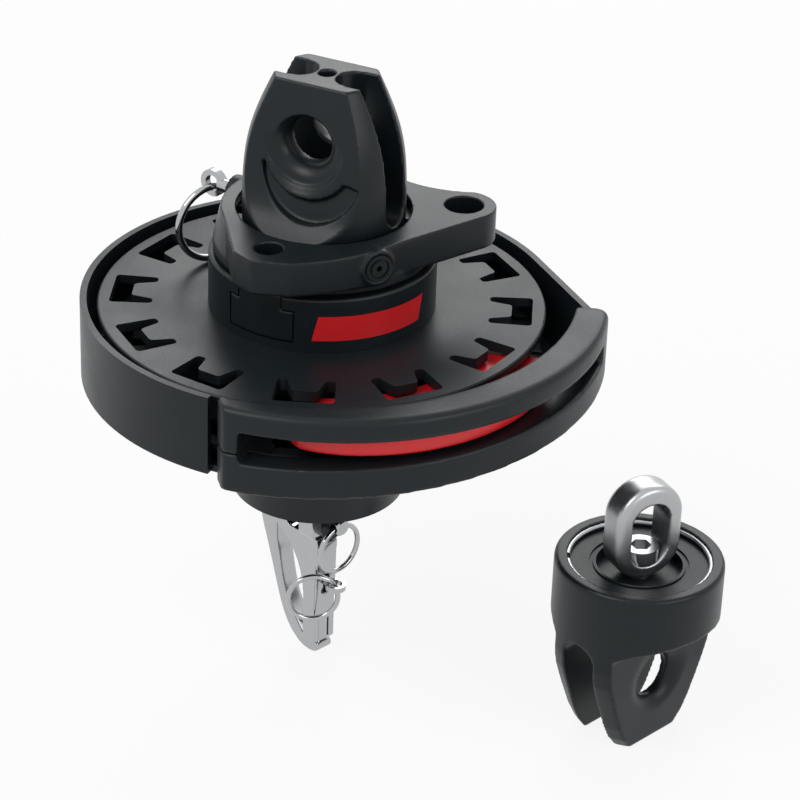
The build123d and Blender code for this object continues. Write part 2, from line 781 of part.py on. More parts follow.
with BuildPart() as tack_swivel:
    with BuildSketch(Plane.XZ):
        with BuildLine():
            Polyline(
                (race_gap, at(tack_bottom_h)),
                (tack_skirt_r, at(tack_bottom_h)),
                (tack_skirt_r - 0.2, at(tack_plate_h + 1)),
                (tack_ring_r, at(tack_top_h)),
                (tack_bore_r, at(tack_top_h)),
                (tack_bore_r, at(tack_top_h - tack_lip_t)),
                (race_gap, at(tack_top_h - tack_lip_t)),
                close=True,
            )
        make_face()
    revolve(axis=Axis.Z)
    with BuildSketch(Plane.XY.offset(at(tack_plate_h))) as plate:
        with BuildLine():
            tip_start = (arm_hole[0] + 6.4, arm_hole[1] - 8.7)
            tip_end = (arm_hole[0] + 3.2, arm_hole[1] + 10.3)
            edge = Line(polar(tack_ring_r, 196), lug_corner)
            nose = Polyline(lug_corner, lug_nose, lug_front)
            side = ThreePointArc(lug_front, side_bulge, side_end)
            Line(side_end, tip_start)
            tip = ThreePointArc(tip_start, (arm_hole[0] + arm_tip_r, arm_hole[1] + 0.6), tip_end)
            back = ThreePointArc(tip_end, polar(38.5, 27), polar(tack_ring_r, 48))
            ThreePointArc(back @ 1, polar(tack_ring_r, 120), edge @ 0)
        make_face()
        nose_corners = plate.vertices().sort_by_distance(lug_nose)[:3]
        fillet(nose_corners, radius=2.6)
        Circle(race_gap, mode=Mode.SUBTRACT)
        with Locations(arm_hole):
            Circle(arm_hole_r, mode=Mode.SUBTRACT)
        with Locations(polar(37.0, lug_hole_az)):
            Circle(lug_hole_r, mode=Mode.SUBTRACT)
    extrude(amount=tack_top_h - tack_plate_h)
    with BuildSketch(Plane.XY.offset(at(tack_bottom_h))):
        with Locations(polar(37.0, lug_hole_az)):
            Circle(lug_hole_r)
    extrude(amount=tack_top_h - tack_bottom_h, mode=Mode.SUBTRACT)
    with BuildSketch(lock_face.offset(race_gap)):
        Circle(lock_boss_r)
    extrude(amount=tack_skirt_r + lock_boss_rise - race_gap)
    with BuildSketch(plug_face.offset(race_gap)):
        Circle(plug_r + plug_boss_wall)
    extrude(amount=tack_skirt_r + plug_boss_rise - race_gap)
    with BuildSketch(Plane.XY.offset(at(tack_bottom_h))):
        Circle(race_gap)
    extrude(amount=tack_top_h - tack_lip_t - tack_bottom_h, mode=Mode.SUBTRACT)
    add(ball_groove(), mode=Mode.SUBTRACT)
    with BuildSketch(lock_face):
        Circle(lock_pin_r + run_fit)
    extrude(amount=2 * tack_skirt_r, mode=Mode.SUBTRACT)
    with BuildSketch(plug_face.offset(plug_seat_r)):
        Circle(plug_r)
    extrude(amount=tack_skirt_r, mode=Mode.SUBTRACT)
keep(tack_swivel.part, "tack_swivel")

with BuildPart() as flush_plug:
    with BuildSketch(plug_face.offset(plug_seat_r)):
        Circle(plug_r)
        Circle(1.0, mode=Mode.SUBTRACT)
    plug_top_r = tack_skirt_r + plug_boss_rise + 0.2
    extrude(amount=plug_top_r - plug_seat_r)
    with BuildSketch(plug_face.offset(plug_top_r)):
        Circle(plug_r - 1.1)
        Circle(plug_r - 1.8, mode=Mode.SUBTRACT)
    extrude(amount=-0.6, mode=Mode.SUBTRACT)
keep(flush_plug.part, "flush_plug")

lock_tip_r = race_r + 0.3
with BuildPart() as lock_pin:
    with BuildSketch(lock_face.offset(lock_tip_r)):
        Circle(lock_pin_r)
    extrude(amount=lock_eye_r - lock_tip_r)
    chamfer(lock_pin.faces().sort_by_distance((0, 0, at(lock_h)))[0].edges(), length=0.5)
    tangent = Vector(-sin(radians(lock_az)), cos(radians(lock_az)), 0)
    eye_plane = Plane(
        origin=(*polar(lock_eye_r, lock_az), at(lock_h)), x_dir=(0, 0, 1), z_dir=tangent
    )
    with BuildSketch(eye_plane):
        Circle(eye_hole_r + 2)
    extrude(amount=eye_half_t, both=True)
    with BuildSketch(eye_plane):
        Circle(eye_hole_r)
    extrude(amount=3, both=True, mode=Mode.SUBTRACT)
keep(lock_pin.part, "lock_pin")


def wire_ring(name, hole, hole_r, half_t, hang, normal, ring_r, wire_r):
    """Closed wire ring in a plane, hanging through a hole of a given half thickness."""
    hang = Vector(*hang).normalized()
    sag = half_t**2 / (2 * ring_r)
    top = Vector(*hole) + hang * (hole_r - wire_r - 0.1 - sag)
    with BuildPart(Plane(origin=top + hang * ring_r, x_dir=hang, z_dir=normal)) as ring:
        Torus(ring_r, wire_r)
    return keep(ring.part, name)


eye_centre = (*polar(lock_eye_r, lock_az), at(lock_h))
ring_az = lock_az + 180 - pull_ring_twist
pull_normal = Vector(cos(radians(ring_az)), sin(radians(ring_az)), 0)
wire_ring(
    "pull_ring",
    eye_centre,
    eye_hole_r,
    eye_half_t,
    (0, 0, -1),
    pull_normal,
    pull_ring_r,
    pull_wire_r,
)


# Snap shackle
def shackle_point(u, z, n=0.0):
    """Model point from the shackle's own coordinates."""
    return u_dir * u + n_dir * n + Vector(0, 0, z)


notch_z = clevis_pin_z - clevis_cheek_r - 0.8
notch_half = clevis_gap / 2 + clevis_cheek_t + 0.5
pivot_u, pivot_z = bail_pivot
pin_hole_r = 1.7
lug_hole_r2 = 2.4
lug_half_t = 1.0
plunger_ring_az = 188.0
with BuildPart() as shackle_body:
    with BuildSketch(shackle_face):
        with Locations(bail_pivot):
            Circle(4.8)
        with BuildLine():
            top = Polyline(
                (pivot_u, pivot_z + 4.8),
                (-notch_half - 1.9, clevis_pin_z - 5.4),
                (-notch_half, notch_z),
                (leg_right, notch_z),
                (leg_right + 0.8, notch_z - 3),
                (leg_right, 12),
                (leg_right, leg_bottom_z),
                (leg_left, leg_bottom_z),
                (leg_left, 12),
            )
            crook = Spline(
                top @ 1, (-6.4, 31.5), (pivot_u + 2, pivot_z - 4.4), tangents=((0, 1), (-1, 0.5))
            )
            Line(crook @ 1, top @ 0)
        make_face()
    extrude(amount=body_half_t, both=True)
    with BuildSketch(shackle_side):
        with Locations((0, clevis_pin_z)):
            Circle(clevis_cheek_r - 0.9)
        with Locations((0, (clevis_pin_z + notch_z) / 2)):
            Rectangle(2 * clevis_cheek_r - 1.8, clevis_pin_z - notch_z)
    extrude(amount=clevis_gap / 2 - 0.3, both=True)
    with BuildSketch(shackle_side):
        with Locations((0, clevis_pin_z)):
            Circle(clevis_pin_r)
    extrude(amount=clevis_gap, both=True, mode=Mode.SUBTRACT)
    with BuildSketch(shackle_face):
        with Locations(bail_pivot):
            Circle(7.4)
    extrude(amount=bail_half_t + bail_play, both=True, mode=Mode.SUBTRACT)
    with BuildSketch(shackle_face):
        with Locations(bail_pivot):
            Circle(bail_pin_r)
    extrude(amount=body_half_t, both=True, mode=Mode.SUBTRACT)
    with BuildSketch(shackle_side):
        with Locations((0, (leg_bottom_z - 2 + tongue_top_z + 0.4) / 2)):
            Rectangle(2 * prong_gap_half, tongue_top_z + 0.4 - leg_bottom_z + 2)
    extrude(amount=8, both=True, mode=Mode.SUBTRACT)
    with BuildSketch(Plane.XY.offset(tongue_top_z)):
        with Locations(shackle_point(plunger_u, 0)):
            Circle(plunger_r + run_fit)
    extrude(amount=lug_z + 5 - tongue_top_z, mode=Mode.SUBTRACT)
    with BuildSketch(shackle_face):
        with Locations(((plunger_u + leg_right + 2) / 2, lug_z - plunger_travel / 2 + 0.4)):
            Rectangle(leg_right + 2 - plunger_u, 2.0 + plunger_travel + 1.6)
    extrude(amount=1.7, both=True, mode=Mode.SUBTRACT)
keep(shackle_body.part, "shackle_body")

with BuildPart() as clevis_pin:
    with BuildSketch(shackle_side.offset(-notch_half - 1.4)):
        with Locations((0, clevis_pin_z)):
            Circle(clevis_pin_r + 1.3)
    extrude(amount=1.5)
    with BuildSketch(shackle_side.offset(-notch_half)):
        with Locations((0, clevis_pin_z)):
            Circle(clevis_pin_r)
    extrude(amount=2 * notch_half + 4.2)
    chamfer(clevis_pin.faces().sort_by_distance(shackle_point(20, clevis_pin_z))[0].edges(), 0.6)
    with BuildSketch(shackle_face):
        with Locations((notch_half + 2.2, clevis_pin_z)):
            Circle(pin_hole_r)
    extrude(amount=clevis_pin_r + 1, both=True, mode=Mode.SUBTRACT)
keep(clevis_pin.part, "clevis_pin")

with BuildPart() as bail_pin:
    with BuildSketch(shackle_face.offset(-body_half_t)):
        with Locations(bail_pivot):
            Circle(bail_pin_r)
    extrude(amount=2 * body_half_t)
keep(bail_pin.part, "bail_pin")

with BuildPart() as shackle_bail:
    with BuildSketch(shackle_face):
        with BuildLine():
            outside = Spline(
                (pivot_u - 4.7, pivot_z),
                (-21.8, 28),
                (-16.1, 11),
                (-8.6, -2.6),
                (0.6, -6.6),
                (leg_right + 0.6, leg_bottom_z - 2.6),
                tangents=((0, -1), (0.45, 1)),
            )
            heel = Polyline(outside @ 1, (leg_right, leg_bottom_z - 0.3), (leg_left, leg_bottom_z - 0.3))
            seat = Spline(
                heel @ 1,
                (-4.6, 0.6),
                (-11.0, 9.5),
                (-15.6, 26),
                (pivot_u + 4.7, pivot_z),
                tangents=((-1, 0.2), (0.05, 1)),
            )
            ThreePointArc(seat @ 1, (pivot_u, pivot_z + 4.7), outside @ 0)
        make_face()
    extrude(amount=bail_half_t, both=True)
    with BuildSketch(shackle_face):
        with Locations(((leg_left + leg_right) / 2, (tongue_top_z + leg_bottom_z) / 2 - 0.4)):
            Rectangle(leg_right - leg_left - 0.8, tongue_top_z - leg_bottom_z + 0.8)
    extrude(amount=prong_gap_half - bail_play, both=True)
    with BuildSketch(shackle_face):
        with Locations(bail_pivot):
            Circle(bail_pin_r + run_fit)
    extrude(amount=2 * bail_half_t, both=True, mode=Mode.SUBTRACT)
    with BuildSketch(Plane.XY.offset(tongue_top_z)):
        with Locations(shackle_point(plunger_u, 0)):
            Circle(plunger_r + 0.15)
    extrude(amount=-plunger_travel - 1, mode=Mode.SUBTRACT)
keep(shackle_bail.part, "shackle_bail")

with BuildPart() as shackle_plunger:
    with BuildSketch(Plane.XY.offset(tongue_top_z + 0.3)):
        with Locations(shackle_point(plunger_u, 0)):
            Circle(plunger_r)
    extrude(amount=lug_z + 2.6 - tongue_top_z - 0.3)
    with BuildSketch(Plane(origin=(0, 0, lug_z), x_dir=u_dir, z_dir=(0, 0, 1))):
        with Locations(((plunger_u + lug_u) / 2, 0)):
            Rectangle(lug_u - plunger_u, 2.8)
        with Locations((lug_u, 0)):
            Circle(lug_hole_r2 + 1.2)
            Circle(lug_hole_r2, mode=Mode.SUBTRACT)
    extrude(amount=lug_half_t, both=True)
keep(shackle_plunger.part, "shackle_plunger")

pin_hole = shackle_point(notch_half + 2.2, clevis_pin_z)
wire_ring(
    "clevis_ring", pin_hole, pin_hole_r, clevis_pin_r, (0, 0, -1), u_dir, small_ring_r, small_wire_r
)
lug_hole = shackle_point(lug_u, lug_z)
lean = radians(plunger_ring_az)
lean_hang = (cos(lean) * cos(radians(30)), sin(lean) * cos(radians(30)), -sin(radians(30)))
lean_normal = (-sin(lean), cos(lean), 0)
wire_ring(
    "plunger_ring",
    lug_hole,
    lug_hole_r2,
    4.2,
    lean_hang,
    lean_normal,
    small_ring_r,
    small_wire_r,
)


# Head swivel, which stands beside the drive unit
rim_z = head_foot_z + head_h
head_x, head_y = head_place
head_axis = Axis((head_x, head_y, 0), (0, 0, 1))
head_profile = Plane(origin=(head_x, head_y, rim_z), x_dir=(1, 0, 0), z_dir=(0, -1, 0))
head_az = 270.0 + head_turn
head_out = Vector(cos(radians(head_az)), sin(radians(head_az)), 0)
head_along = Vector(-head_out.Y, head_out.X, 0)
head_face = Plane(origin=(head_x, head_y, rim_z), x_dir=head_along, z_dir=head_out)
head_side = Plane(origin=(head_x, head_y, rim_z), x_dir=-head_out, z_dir=head_along)


def head_level(e):
    """Horizontal plane on the head swivel's axis at a height above its rim."""
    return Plane.XY.offset(rim_z + e).move(Location((head_x, head_y, 0)))


snap_e = -1.6
cover_top_e = snap_e - snap_wire_r - 0.1
recess_r = 14.6
cover_t = 6.2
cover_bottom_e = cover_top_e - cover_t
head_ball_e = cover_bottom_e - head_ball_r
nut_top_e = head_ball_e - head_ball_r
head_nut_t = 2.4
bolt_r = 4.0

with BuildPart() as head_body:
    with BuildSketch(head_profile):
        with BuildLine():
            cup = Polyline(
                (0, -head_bore_depth),
                (head_bore_r, -head_bore_depth),
                (head_bore_r, 0),
                (head_r - 1.2, 0),
                (head_r, -1.2),
                (head_r, -head_cup_h),
            )
            leg = Spline(
                cup @ 1,
                (head_r - 3.1, -head_cup_h - 15),
                (head_r - 4.9, -head_cup_h - 26),
                (head_foot_r, -head_h),
                tangents=((0, -1), (-0.7, -1)),
            )
            Polyline(leg @ 1, (0, -head_h), cup @ 0)
        make_face()
    revolve(axis=head_axis)
    brow_slope = (head_brow_rim - head_brow_root) / (head_r - head_flat)
    brow_end = head_brow_rim + brow_slope * 2
    with BuildSketch(head_side):
        Polygon(
            (head_flat, 0),
            (head_flat, -head_pin_depth),
            (head_half_foot, -head_h - 1),
            (2 * head_r, -head_h - 1),
            (2 * head_r, 0),
            align=None,
        )
        mirror(about=Plane.YZ)
    flats = extrude(amount=2 * head_r, both=True, mode=Mode.PRIVATE)
    with BuildSketch(head_profile):
        Polygon(
            (0, -head_brow_root + brow_slope * head_flat),
            (head_r + 2, -brow_end),
            (head_r + 2, -head_h - 1),
            (0, -head_h - 1),
            align=None,
        )
    under_brow = revolve(axis=head_axis, mode=Mode.PRIVATE)
    add(flats & under_brow, mode=Mode.SUBTRACT)
    with BuildSketch(head_side):
        with Locations((0, -head_slot_depth - jaw_gap / 2)):
            Circle(jaw_gap / 2)
        with Locations((0, -(head_slot_depth + jaw_gap / 2 + head_h + 1) / 2)):
            Rectangle(jaw_gap, head_h + 1 - head_slot_depth - jaw_gap / 2)
    extrude(amount=2 * head_r, both=True, mode=Mode.SUBTRACT)
    with BuildSketch(head_face):
        with Locations((0, -head_pin_depth)):
            Circle(jaw_pin_r)
    extrude(amount=2 * head_r, both=True, mode=Mode.SUBTRACT)
    with BuildSketch(head_side):
        with Locations((0, -head_pin_depth)):
            add(pin_mouth(head_pin_straight, head_flat, jaw_mouth_r))
    head_pin_axis = Axis((head_x, head_y, rim_z - head_pin_depth), head_out)
    revolve(axis=head_pin_axis, mode=Mode.SUBTRACT)
    with BuildPart(head_level(snap_e), mode=Mode.SUBTRACT):
        Torus(head_bore_r, snap_wire_r + 0.1)
keep(head_body.part, "head_body")

with BuildPart() as head_snap_ring:
    with BuildPart(head_level(snap_e)):
        Torus(head_bore_r - 0.1, snap_wire_r)
    with BuildSketch(head_level(snap_e - 2)):
        with Locations((-head_bore_r, 0)):
            Rectangle(6, 3.4)
    extrude(amount=4, mode=Mode.SUBTRACT)
keep(head_snap_ring.part, "head_snap_ring")

with BuildPart() as head_cover:
    with BuildSketch(head_level(cover_bottom_e)):
        Circle(head_bore_r - 0.05)
        Circle(bolt_r + run_fit, mode=Mode.SUBTRACT)
    extrude(amount=cover_t)
    with BuildSketch(head_level(cover_top_e)):
        Circle(recess_r)
    extrude(amount=eye_bottom - 0.3 - cover_top_e, mode=Mode.SUBTRACT)
    with BuildSketch(head_level(cover_top_e)):
        Circle(recess_r + 2.2)
        Circle(recess_r + 1.0, mode=Mode.SUBTRACT)
    extrude(amount=-0.6, mode=Mode.SUBTRACT)
keep(head_cover.part, "head_cover")

with BuildPart() as head_balls:
    with Locations(head_level(head_ball_e)):
        with PolarLocations(head_pitch_r, head_ball_count):
            Sphere(head_ball_r - ball_slack)
keep(head_balls.part, "head_balls")

with BuildPart() as head_nut:
    with BuildSketch(head_level(nut_top_e - head_nut_t)):
        Circle(head_pitch_r + 3.4)
        Circle(bolt_r, mode=Mode.SUBTRACT)
    extrude(amount=head_nut_t)
keep(head_nut.part, "head_nut")

eye_out = Vector(cos(radians(eye_az)), sin(radians(eye_az)), 0)
eye_face = Plane(
    origin=(head_x, head_y, rim_z), x_dir=Vector(-eye_out.Y, eye_out.X, 0), z_dir=eye_out
)
eye_h = eye_top - eye_bottom
eye_hole_h = eye_hole_top - eye_hole_bottom
with BuildPart() as head_eye:
    with BuildSketch(eye_face):
        with Locations((0, (eye_top + eye_bottom) / 2)):
            SlotOverall(eye_h, eye_w, rotation=90)
    extrude(amount=eye_t / 2, both=True)
    fillet(head_eye.edges().filter_by(GeomType.CIRCLE), radius=2.4)
    with BuildSketch(eye_face):
        with Locations((0, (eye_hole_top + eye_hole_bottom) / 2)):
            SlotOverall(eye_hole_h, eye_hole_w, rotation=90)
    extrude(amount=eye_t, both=True, mode=Mode.SUBTRACT)
    with BuildSketch(head_level(eye_bottom - 1)):
        Circle(bolt_r)
    extrude(amount=20, mode=Mode.SUBTRACT)
    with BuildSketch(head_level(eye_hole_bottom + 0.6)):
        Circle(6.3)
    extrude(amount=9, mode=Mode.SUBTRACT)
keep(head_eye.part, "head_eye")

with BuildPart() as head_bolt:
    with BuildSketch(head_level(nut_top_e - head_nut_t)):
        Circle(bolt_r)
    extrude(amount=eye_hole_bottom + 0.6 - nut_top_e + head_nut_t)
    with BuildSketch(head_level(eye_hole_bottom + 0.6)):
        Circle(6.2)
    extrude(amount=4.6)
    with BuildSketch(head_level(eye_hole_bottom + 5.2)):
        RegularPolygon(3.6, 6)
    extrude(amount=-3.2, mode=Mode.SUBTRACT)
keep(head_bolt.part, "head_bolt")

os.makedirs("parts", exist_ok=True)
for piece in pieces:
    export_step(piece, f"parts/{piece.label}.step")
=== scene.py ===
import json
from math import cos, pi, radians, sin

import bmesh
import bpy
from bpy.props import FloatProperty, FloatVectorProperty, IntProperty, PointerProperty
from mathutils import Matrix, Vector


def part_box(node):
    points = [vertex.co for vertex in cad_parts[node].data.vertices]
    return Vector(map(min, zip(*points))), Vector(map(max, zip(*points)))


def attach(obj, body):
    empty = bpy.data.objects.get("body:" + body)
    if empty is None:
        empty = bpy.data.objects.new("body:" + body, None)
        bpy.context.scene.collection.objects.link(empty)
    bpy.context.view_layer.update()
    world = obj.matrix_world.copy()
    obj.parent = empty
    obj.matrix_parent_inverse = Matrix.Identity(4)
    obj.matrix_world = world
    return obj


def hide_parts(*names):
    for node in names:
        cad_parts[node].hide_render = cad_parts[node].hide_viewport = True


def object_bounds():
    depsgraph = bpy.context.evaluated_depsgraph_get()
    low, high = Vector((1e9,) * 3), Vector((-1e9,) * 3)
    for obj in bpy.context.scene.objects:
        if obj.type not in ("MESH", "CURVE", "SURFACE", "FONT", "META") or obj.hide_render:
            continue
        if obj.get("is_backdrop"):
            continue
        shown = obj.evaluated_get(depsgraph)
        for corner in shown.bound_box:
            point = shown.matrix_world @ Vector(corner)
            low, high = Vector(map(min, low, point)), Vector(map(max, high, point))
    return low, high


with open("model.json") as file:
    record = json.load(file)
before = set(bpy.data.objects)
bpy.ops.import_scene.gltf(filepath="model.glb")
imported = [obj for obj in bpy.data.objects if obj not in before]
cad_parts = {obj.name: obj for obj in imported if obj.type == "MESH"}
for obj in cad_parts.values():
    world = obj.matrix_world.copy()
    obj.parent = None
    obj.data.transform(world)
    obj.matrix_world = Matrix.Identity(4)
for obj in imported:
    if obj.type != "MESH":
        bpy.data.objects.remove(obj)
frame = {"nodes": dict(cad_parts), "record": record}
nodes = frame["nodes"]
cad_low, cad_high = (list(corner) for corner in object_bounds())

bl_info = {
    "name": "Top-down furler",
    "version": (1, 0, 0),
    "blender": (4, 5, 0),
    "location": "3D View > Sidebar > Furler",
    "description": "Finishes, rounded bodies and small parts of a top-down furler and its head swivel",
    "category": "Object",
}

MM = 0.001
UP = Vector((0, 0, 1))

# Places from the frame, in metres
FLANGE_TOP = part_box("upper_flange")[1][2]
LOWER_FLANGE_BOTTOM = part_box("lower_flange")[0][2]
BAND_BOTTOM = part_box("guard_band")[0][2]
HEAD_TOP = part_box("head_body")[1][2]
EYE_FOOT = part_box("head_eye")[0][2]

# Sizes are in millimetres and angles in degrees, and heights count from the upper flange's top
# Dome: from where its foot starts to spread to where it has spread fully, by height and radius
DOME_FOOT_HEIGHTS = (-44.0, -60.0)
DOME_FOOT_RADII = (19.0, 22.5)
DOME_FOOT_SPREAD = 3.2

# Lower rail: rises of its top and foot, in the middle and for each millimetre to the right
RAIL_BLEND = (-24.0, -16.0)
RAIL_TOP_RISE = (1.1, 0.045)
RAIL_FOOT_RISE = (2.0, 0.05)

# Wedge cut off the rails' left post, outwards and sideways from a point near its corner
POST_AZIMUTH = 248.6
POST_R = 86.0
POST_WEDGE = [(-4.2, -3.0), (4.0, -3.0), (4.0, 4.6), (0.4, 4.6), (-1.6, 2.4), (-4.2, 0.6)]
POST_HEIGHTS = (-40.0, 20.0)

# Line stripper: a crescent between a round inner edge and a full nose
STRIPPER_INNER_R = 58.0
STRIPPER_INNER_ARC = (336, 270)
STRIPPER_NOSE_ARC = (265, 341)
STRIPPER_END_R = 77.5
STRIPPER_NOSE = 10.2
STRIPPER_FULLNESS = 0.45
STRIPPER_HEIGHTS = (-11.4, -4.8)

# Jaw: CHEEK_FACE is how far a cheek's leaning face stands from the middle at the pin
PIN_BORE_R = 7.8
JAW_AZIMUTH = 244.5
JAW_PIN_HEIGHT = 62.5
CHEEK_LEAN = 13.3
CHEEK_FACE = 15.2
POCKET_CENTRE = (3.3, 55.5)
POCKET_R = 17.8
POCKET_DEPTH = 3.4
LIP_CENTRE = (1.5, 61.5)
LIP_R = 16.4

# Grip ribs: they lie on the cone between the flange's rim and its root in the line groove
FLANGE_R = 75.0
RIM_THICKNESS = 2.6
ROOT_R = 42.0
ROOT_THICKNESS = 5.4
RIB_R = 72.5
RIB_DEPTH = 2.8
RIB_LENGTH = 4.0
RIB_WIDTH = 1.2

# Screws under the base: SCREW_DROP is how far their middle lies under the guard band
SCREW_RING_R = 70.0
SCREW_HEAD_R = 3.2
SCREW_HEAD_HEIGHT = 1.8
SCREW_DROP = 0.7

# Mark on the sleeve
SLEEVE_R = 38.0
MARK_ARC = (267.0, 328.0)
MARK_LEAN = 3.2
MARK_FOOT = 4.6
MARK_LIFT = 0.06

# Head swivel: depths under its top, and its legs' heights over the origin
HEAD_AXIS = (109.5 * MM, -38.5 * MM)
HEAD_AZIMUTH = 315.0
HEAD_PIN_DEPTH = 43.0
HEAD_CUP_R = 24.2
HEAD_CUP_DEPTH = 15.9
LEG_HEIGHTS = (30.0, -6.0)
LEG_NARROWING = 0.13
EYE_SHARE = 0.935

# Stage: lengths in metres, glow and light as shares of white
FLOOR_REACH = 12.0
FLOOR_GAP = 0.0002
FLOOR_GLOW = 0.88
SKY_LIGHT = 0.42
LAMP_TARGET = (0.03, -0.02, 0.09)
CAMERA_PLACE = (0.027306, -0.891595, 0.592088)
CAMERA_TURN = (radians(60.8332), radians(-1.8601), radians(1.0379))


# Properties
class FurlerColours(bpy.types.PropertyGroup):
    """Colours of the furler's finishes"""

    anodised: FloatVectorProperty(
        name="Anodised black",
        description="Colour of the anodised metal parts",
        subtype="COLOR",
        default=(0.006, 0.0098, 0.0122),
        min=0,
        max=1,
    )
    moulded: FloatVectorProperty(
        name="Moulded black",
        description="Colour of the moulded guard, rails and flanges",
        subtype="COLOR",
        default=(0.0068, 0.0106, 0.013),
        min=0,
        max=1,
    )
    red: FloatVectorProperty(
        name="Red",
        description="Colour of the line stripper and of the mark on the sleeve",
        subtype="COLOR",
        default=(0.68, 0.012, 0.016),
        min=0,
        max=1,
    )
    steel: FloatVectorProperty(
        name="Stainless steel",
        description="Colour of the shackle, rings and eye",
        subtype="COLOR",
        default=(0.43, 0.437, 0.445),
        min=0,
        max=1,
    )


class FurlerSizes(bpy.types.PropertyGroup):
    """Numbers and sizes of the small parts"""

    rib_count: IntProperty(
        name="Grip ribs",
        description="Number of radial ribs on each flange's inner face",
        default=36,
        min=6,
        max=72,
    )
    rib_height: FloatProperty(
        name="Rib height",
        description="How far a grip rib stands into the line groove",
        default=0.0009,
        unit="LENGTH",
    )
    screw_count: IntProperty(
        name="Base screws",
        description="Number of screws under the base",
        default=6,
        min=3,
        max=12,
    )
    mark_height: FloatProperty(
        name="Mark height",
        description="Height of the plain red mark on the sleeve",
        default=0.0088,
        unit="LENGTH",
    )


# Shader groups
def new_group(name, inputs, outputs):
    """Shader group with float and vector sockets, and its input and output nodes."""
    kinds = {"F": "NodeSocketFloat", "V": "NodeSocketVector"}
    tree = bpy.data.node_groups.new(name, "ShaderNodeTree")
    for label, kind in inputs:
        tree.interface.new_socket(label, in_out="INPUT", socket_type=kinds[kind])
    for label, kind in outputs:
        tree.interface.new_socket(label, in_out="OUTPUT", socket_type=kinds[kind])
    return tree, tree.nodes.new("NodeGroupInput"), tree.nodes.new("NodeGroupOutput")


def add_noise(tree, vector, scale, detail=3.0):
    """Noise texture on a vector socket; scale is a number or a socket."""
    noise = tree.nodes.new("ShaderNodeTexNoise")
    noise.inputs["Detail"].default_value = detail
    tree.links.new(vector, noise.inputs["Vector"])
    if isinstance(scale, (int, float)):
        noise.inputs["Scale"].default_value = scale
    else:
        tree.links.new(scale, noise.inputs["Scale"])
    return noise.outputs["Fac"]


def add_map(tree, value, low, high, to_low, to_high):
    """Map Range node; its numbers may be sockets."""
    node = tree.nodes.new("ShaderNodeMapRange")
    tree.links.new(value, node.inputs["Value"])
    for label, item in (
        ("From Min", low),
        ("From Max", high),
        ("To Min", to_low),
        ("To Max", to_high),
    ):
        if isinstance(item, (int, float)):
            node.inputs[label].default_value = item
        else:
            tree.links.new(item, node.inputs[label])
    return node.outputs["Result"]


def add_math(tree, operation, a, b):
    """Math node; its numbers may be sockets."""
    node = tree.nodes.new("ShaderNodeMath")
    node.operation = operation
    for socket, item in zip(node.inputs, (a, b)):
        if isinstance(item, (int, float)):
            socket.default_value = item
        else:
            tree.links.new(item, socket)
    return node.outputs["Value"]


def surface_grain_group():
    """Fine grain with slow patches: a roughness between two values and a height."""
    tree, start, end = new_group(
        "surface_grain",
        [("Vector", "V"), ("Grain Scale", "F"), ("Smooth", "F"), ("Rough", "F")],
        [("Roughness", "F"), ("Height", "F")],
    )
    fine = add_noise(tree, start.outputs["Vector"], start.outputs["Grain Scale"])
    slow = add_noise(tree, start.outputs["Vector"], scale=34.0, detail=2.0)
    fine_share = 0.45
    fine_part = add_math(tree, "MULTIPLY", fine, fine_share)
    slow_part = add_math(tree, "MULTIPLY", slow, 1 - fine_share)
    mixed = add_math(tree, "ADD", fine_part, slow_part)
    smooth, rough = start.outputs["Smooth"], start.outputs["Rough"]
    uneven = add_map(tree, mixed, low=0.3, high=0.7, to_low=smooth, to_high=rough)
    tree.links.new(uneven, end.inputs["Roughness"])
    tree.links.new(fine, end.inputs["Height"])
    return tree


def handling_wear_group():
    """Sparse mask of rubbed spots and faint dust, for mixing a worn colour in."""
    tree, start, end = new_group(
        "handling_wear",
        [("Vector", "V"), ("Scale", "F"), ("Amount", "F")],
        [("Mask", "F")],
    )
    broad = add_noise(tree, start.outputs["Vector"], start.outputs["Scale"], detail=5.0)
    spots = add_map(tree, broad, low=0.56, high=0.78, to_low=0.0, to_high=1.0)
    fine = add_noise(tree, start.outputs["Vector"], scale=900.0, detail=2.0)
    broken = add_math(tree, "MULTIPLY", spots, fine)
    mask = add_math(tree, "MULTIPLY", broken, start.outputs["Amount"])
    tree.links.new(mask, end.inputs["Mask"])
    return tree


def hairline_group():
    """Fine lines round the Z axis, as left by turning and polishing."""
    tree, start, end = new_group(
        "hairlines",
        [("Vector", "V"), ("Stretch", "F")],
        [("Height", "F")],
    )
    split = tree.nodes.new("ShaderNodeSeparateXYZ")
    joined = tree.nodes.new("ShaderNodeCombineXYZ")
    tree.links.new(start.outputs["Vector"], split.inputs["Vector"])
    tree.links.new(split.outputs["X"], joined.inputs["X"])
    tree.links.new(split.outputs["Y"], joined.inputs["Y"])
    lifted = add_math(tree, "MULTIPLY", split.outputs["Z"], start.outputs["Stretch"])
    tree.links.new(lifted, joined.inputs["Z"])
    lines = add_noise(tree, joined.outputs["Vector"], scale=180.0, detail=4.0)
    tree.links.new(lines, end.inputs["Height"])
    return tree


groups = {}


def place_group(tree, name, vector, **values):
    """Group node in a material with its constants set and its Vector linked."""
    makers = {
        "surface_grain": surface_grain_group,
        "handling_wear": handling_wear_group,
        "hairlines": hairline_group,
    }
    if name not in groups:
        groups[name] = makers[name]()
    node = tree.nodes.new("ShaderNodeGroup")
    node.node_tree = groups[name]
    tree.links.new(vector, node.inputs["Vector"])
    for label, value in values.items():
        node.inputs[label.replace("_", " ")].default_value = value
    return node


# Materials
def new_material(name):
    """Material with its node tree and its Principled shader."""
    material = bpy.data.materials.new(name)
    material.use_nodes = True
    return material, material.node_tree, material.node_tree.nodes["Principled BSDF"]


